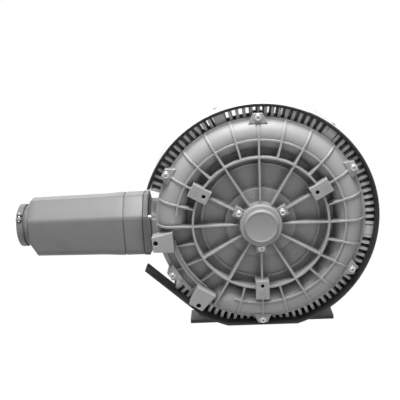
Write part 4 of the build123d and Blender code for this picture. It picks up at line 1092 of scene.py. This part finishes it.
@dataclass
class Studio:
    """Floor, surroundings, lamps and camera."""

    azimuth: float = 2.05
    elevation: float = 15.96
    roll: float = -2.79
    distance: float = 1636.03
    aim: Point3 = (-135.61, -36.0, 48.64)
    lens: float = 58.87
    sensor: float = 36.0
    shift: Point2 = (-0.015, 0.018)
    view_reach: float = 60.0
    floor_size: float = 14.0
    floor_white: float = 0.95
    floor_glow: float = 1.05
    floor_tones: Point2 = (0.42, 0.36)
    floor_mottle: float = 0.06
    soft_light: float = 0.1
    lamp_aim: Point3 = (-0.1, -0.1, 0.3)
    lamps: tuple[Lamp, ...] = (
        Lamp("top_lamp", (-0.05, -0.78, 2.8), 1.0, 90.0),
        Lamp("left_lamp", (-1.8, -0.9, 1.8), 1.2, 6.0),
        Lamp("rear_lamp", (-1.0, 2.6, 1.6), 1.6, 16.0),
        Lamp("front_lamp", (1.2, -2.4, 0.9), 1.6, 4.0),
    )

    def camera(self) -> None:
        """Camera at the viewing angle of the machine."""
        a, e, r = (math.radians(v) for v in (self.azimuth, self.elevation, self.roll))
        back = Vector((math.sin(a) * math.cos(e), -math.cos(a) * math.cos(e), math.sin(e)))
        level = Vector((math.cos(a), math.sin(a), 0.0))
        upright = level.cross(-back)
        right = math.cos(r) * level + math.sin(r) * upright
        up = -math.sin(r) * level + math.cos(r) * upright
        spot = place(*self.aim) + back * self.distance * MM
        data = bpy.data.cameras.new("camera")
        data.sensor_width = self.sensor
        data.lens = self.lens
        data.shift_x, data.shift_y = self.shift
        data.clip_end = self.view_reach
        camera = bpy.data.objects.new("camera", data)
        turn = Matrix((right, up, back)).transposed().to_4x4()
        camera.matrix_world = Matrix.Translation(spot) @ turn
        bpy.context.scene.collection.objects.link(camera)
        bpy.context.scene.camera = camera

    def seen(self, g: Graph) -> Sock:
        """1 for rays of the camera, of mirrors and of glass, 0 for all others."""
        path = g.node("ShaderNodeLightPath")
        camera, glossy, through = (Sock(g, path.outputs[f"Is {kind} Ray"])
                                   for kind in ("Camera", "Glossy", "Transmission"))
        return (camera + glossy + through).between(0.0, 1.0)

    def floor(self) -> None:
        """Pale floor that shows white to the camera and keeps the machine's shadow."""
        half = self.floor_size / 2
        mesh = bpy.data.meshes.new("floor")
        mesh.from_pydata([(-half, -half, 0), (half, -half, 0), (half, half, 0), (-half, half, 0)], [],
                         [(0, 1, 2, 3)])
        floor = bpy.data.objects.new("floor", mesh)
        bpy.context.scene.collection.objects.link(floor)
        material = bpy.data.materials.new("pale_floor")
        material.use_nodes = True
        material.node_tree.nodes.clear()
        g = Graph(material.node_tree)
        grain = g.add("ShaderNodeTexNoise", None, {"Scale": 40.0, "Detail": 3.0})
        pale, dark = self.floor_tones
        tone = g.mix(grain * self.floor_mottle, grey(pale), grey(dark))
        shader = g.add("ShaderNodeBsdfPrincipled", None, {"Base Color": tone, "Roughness": 0.9})
        white = g.add("ShaderNodeEmission", None, {"Color": (1, 1, 1, 1), "Strength": self.floor_glow})
        both = g.add("ShaderNodeMixShader", None, {0: self.seen(g) * self.floor_white, 1: shader, 2: white})
        g.node("ShaderNodeOutputMaterial", None, {"Surface": both})
        mesh.materials.append(material)

    def world(self) -> None:
        """White surroundings for the camera and mirrors, plain soft light for everything else."""
        world = bpy.data.worlds.new("studio_world")
        bpy.context.scene.world = world
        world.use_nodes = True
        world.node_tree.nodes.clear()
        g = Graph(world.node_tree)
        white = g.add("ShaderNodeBackground", None, {"Color": (1, 1, 1, 1), "Strength": 1.0})
        soft = g.add("ShaderNodeBackground", None, {"Color": (1, 1, 1, 1), "Strength": self.soft_light})
        both = g.add("ShaderNodeMixShader", None, {0: self.seen(g), 1: soft, 2: white})
        g.node("ShaderNodeOutputWorld", None, {"Surface": both})

    def hang(self, kind: Lamp) -> None:
        """Hang a lamp and aim it at the middle of the machine.

        Args:
            kind: The lamp.
        """
        data = bpy.data.lights.new(kind.name, "AREA")
        data.size = kind.size
        data.energy = kind.power
        lamp = bpy.data.objects.new(kind.name, data)
        lamp.location = kind.spot
        aim = Vector(self.lamp_aim) - Vector(kind.spot)
        lamp.rotation_mode = "QUATERNION"
        lamp.rotation_quaternion = aim.to_track_quat("-Z", "Y")
        bpy.context.scene.collection.objects.link(lamp)

    def build(self) -> None:
        """Set everything up."""
        self.camera()
        self.floor()
        self.world()
        for kind in self.lamps:
            self.hang(kind)
        bpy.context.scene.view_settings.view_transform = "Standard"


def dress_frame() -> None:
    """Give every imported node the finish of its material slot."""
    for name, obj in frame["nodes"].items():
        finish = NODE_FINISH.get(name) or SLOT_FINISH.get(slot_of(name), Finish.CASING_CASTING)
        obj.data.materials.clear()
        obj.data.materials.append(finish.material())


def main() -> None:
    """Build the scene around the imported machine."""
    logging.basicConfig(level=logging.INFO, format="%(name)s: %(message)s")
    dress_frame()
    Studio().build()
    CoverDetails().build()
    Silencer().build()
    CowlTrim().build()
    SocketScrews("cover_socket_screws", "cover_screws", pitch_r=267.0, count=6, first=30.0,
                 seat_y=-28.0).build()
    SocketScrews("cap_socket_screws", "bearing_cap_screws", pitch_r=62.0, count=3, first=30.0,
                 seat_y=-44.0).build()


if __name__ == "__main__":
    main()
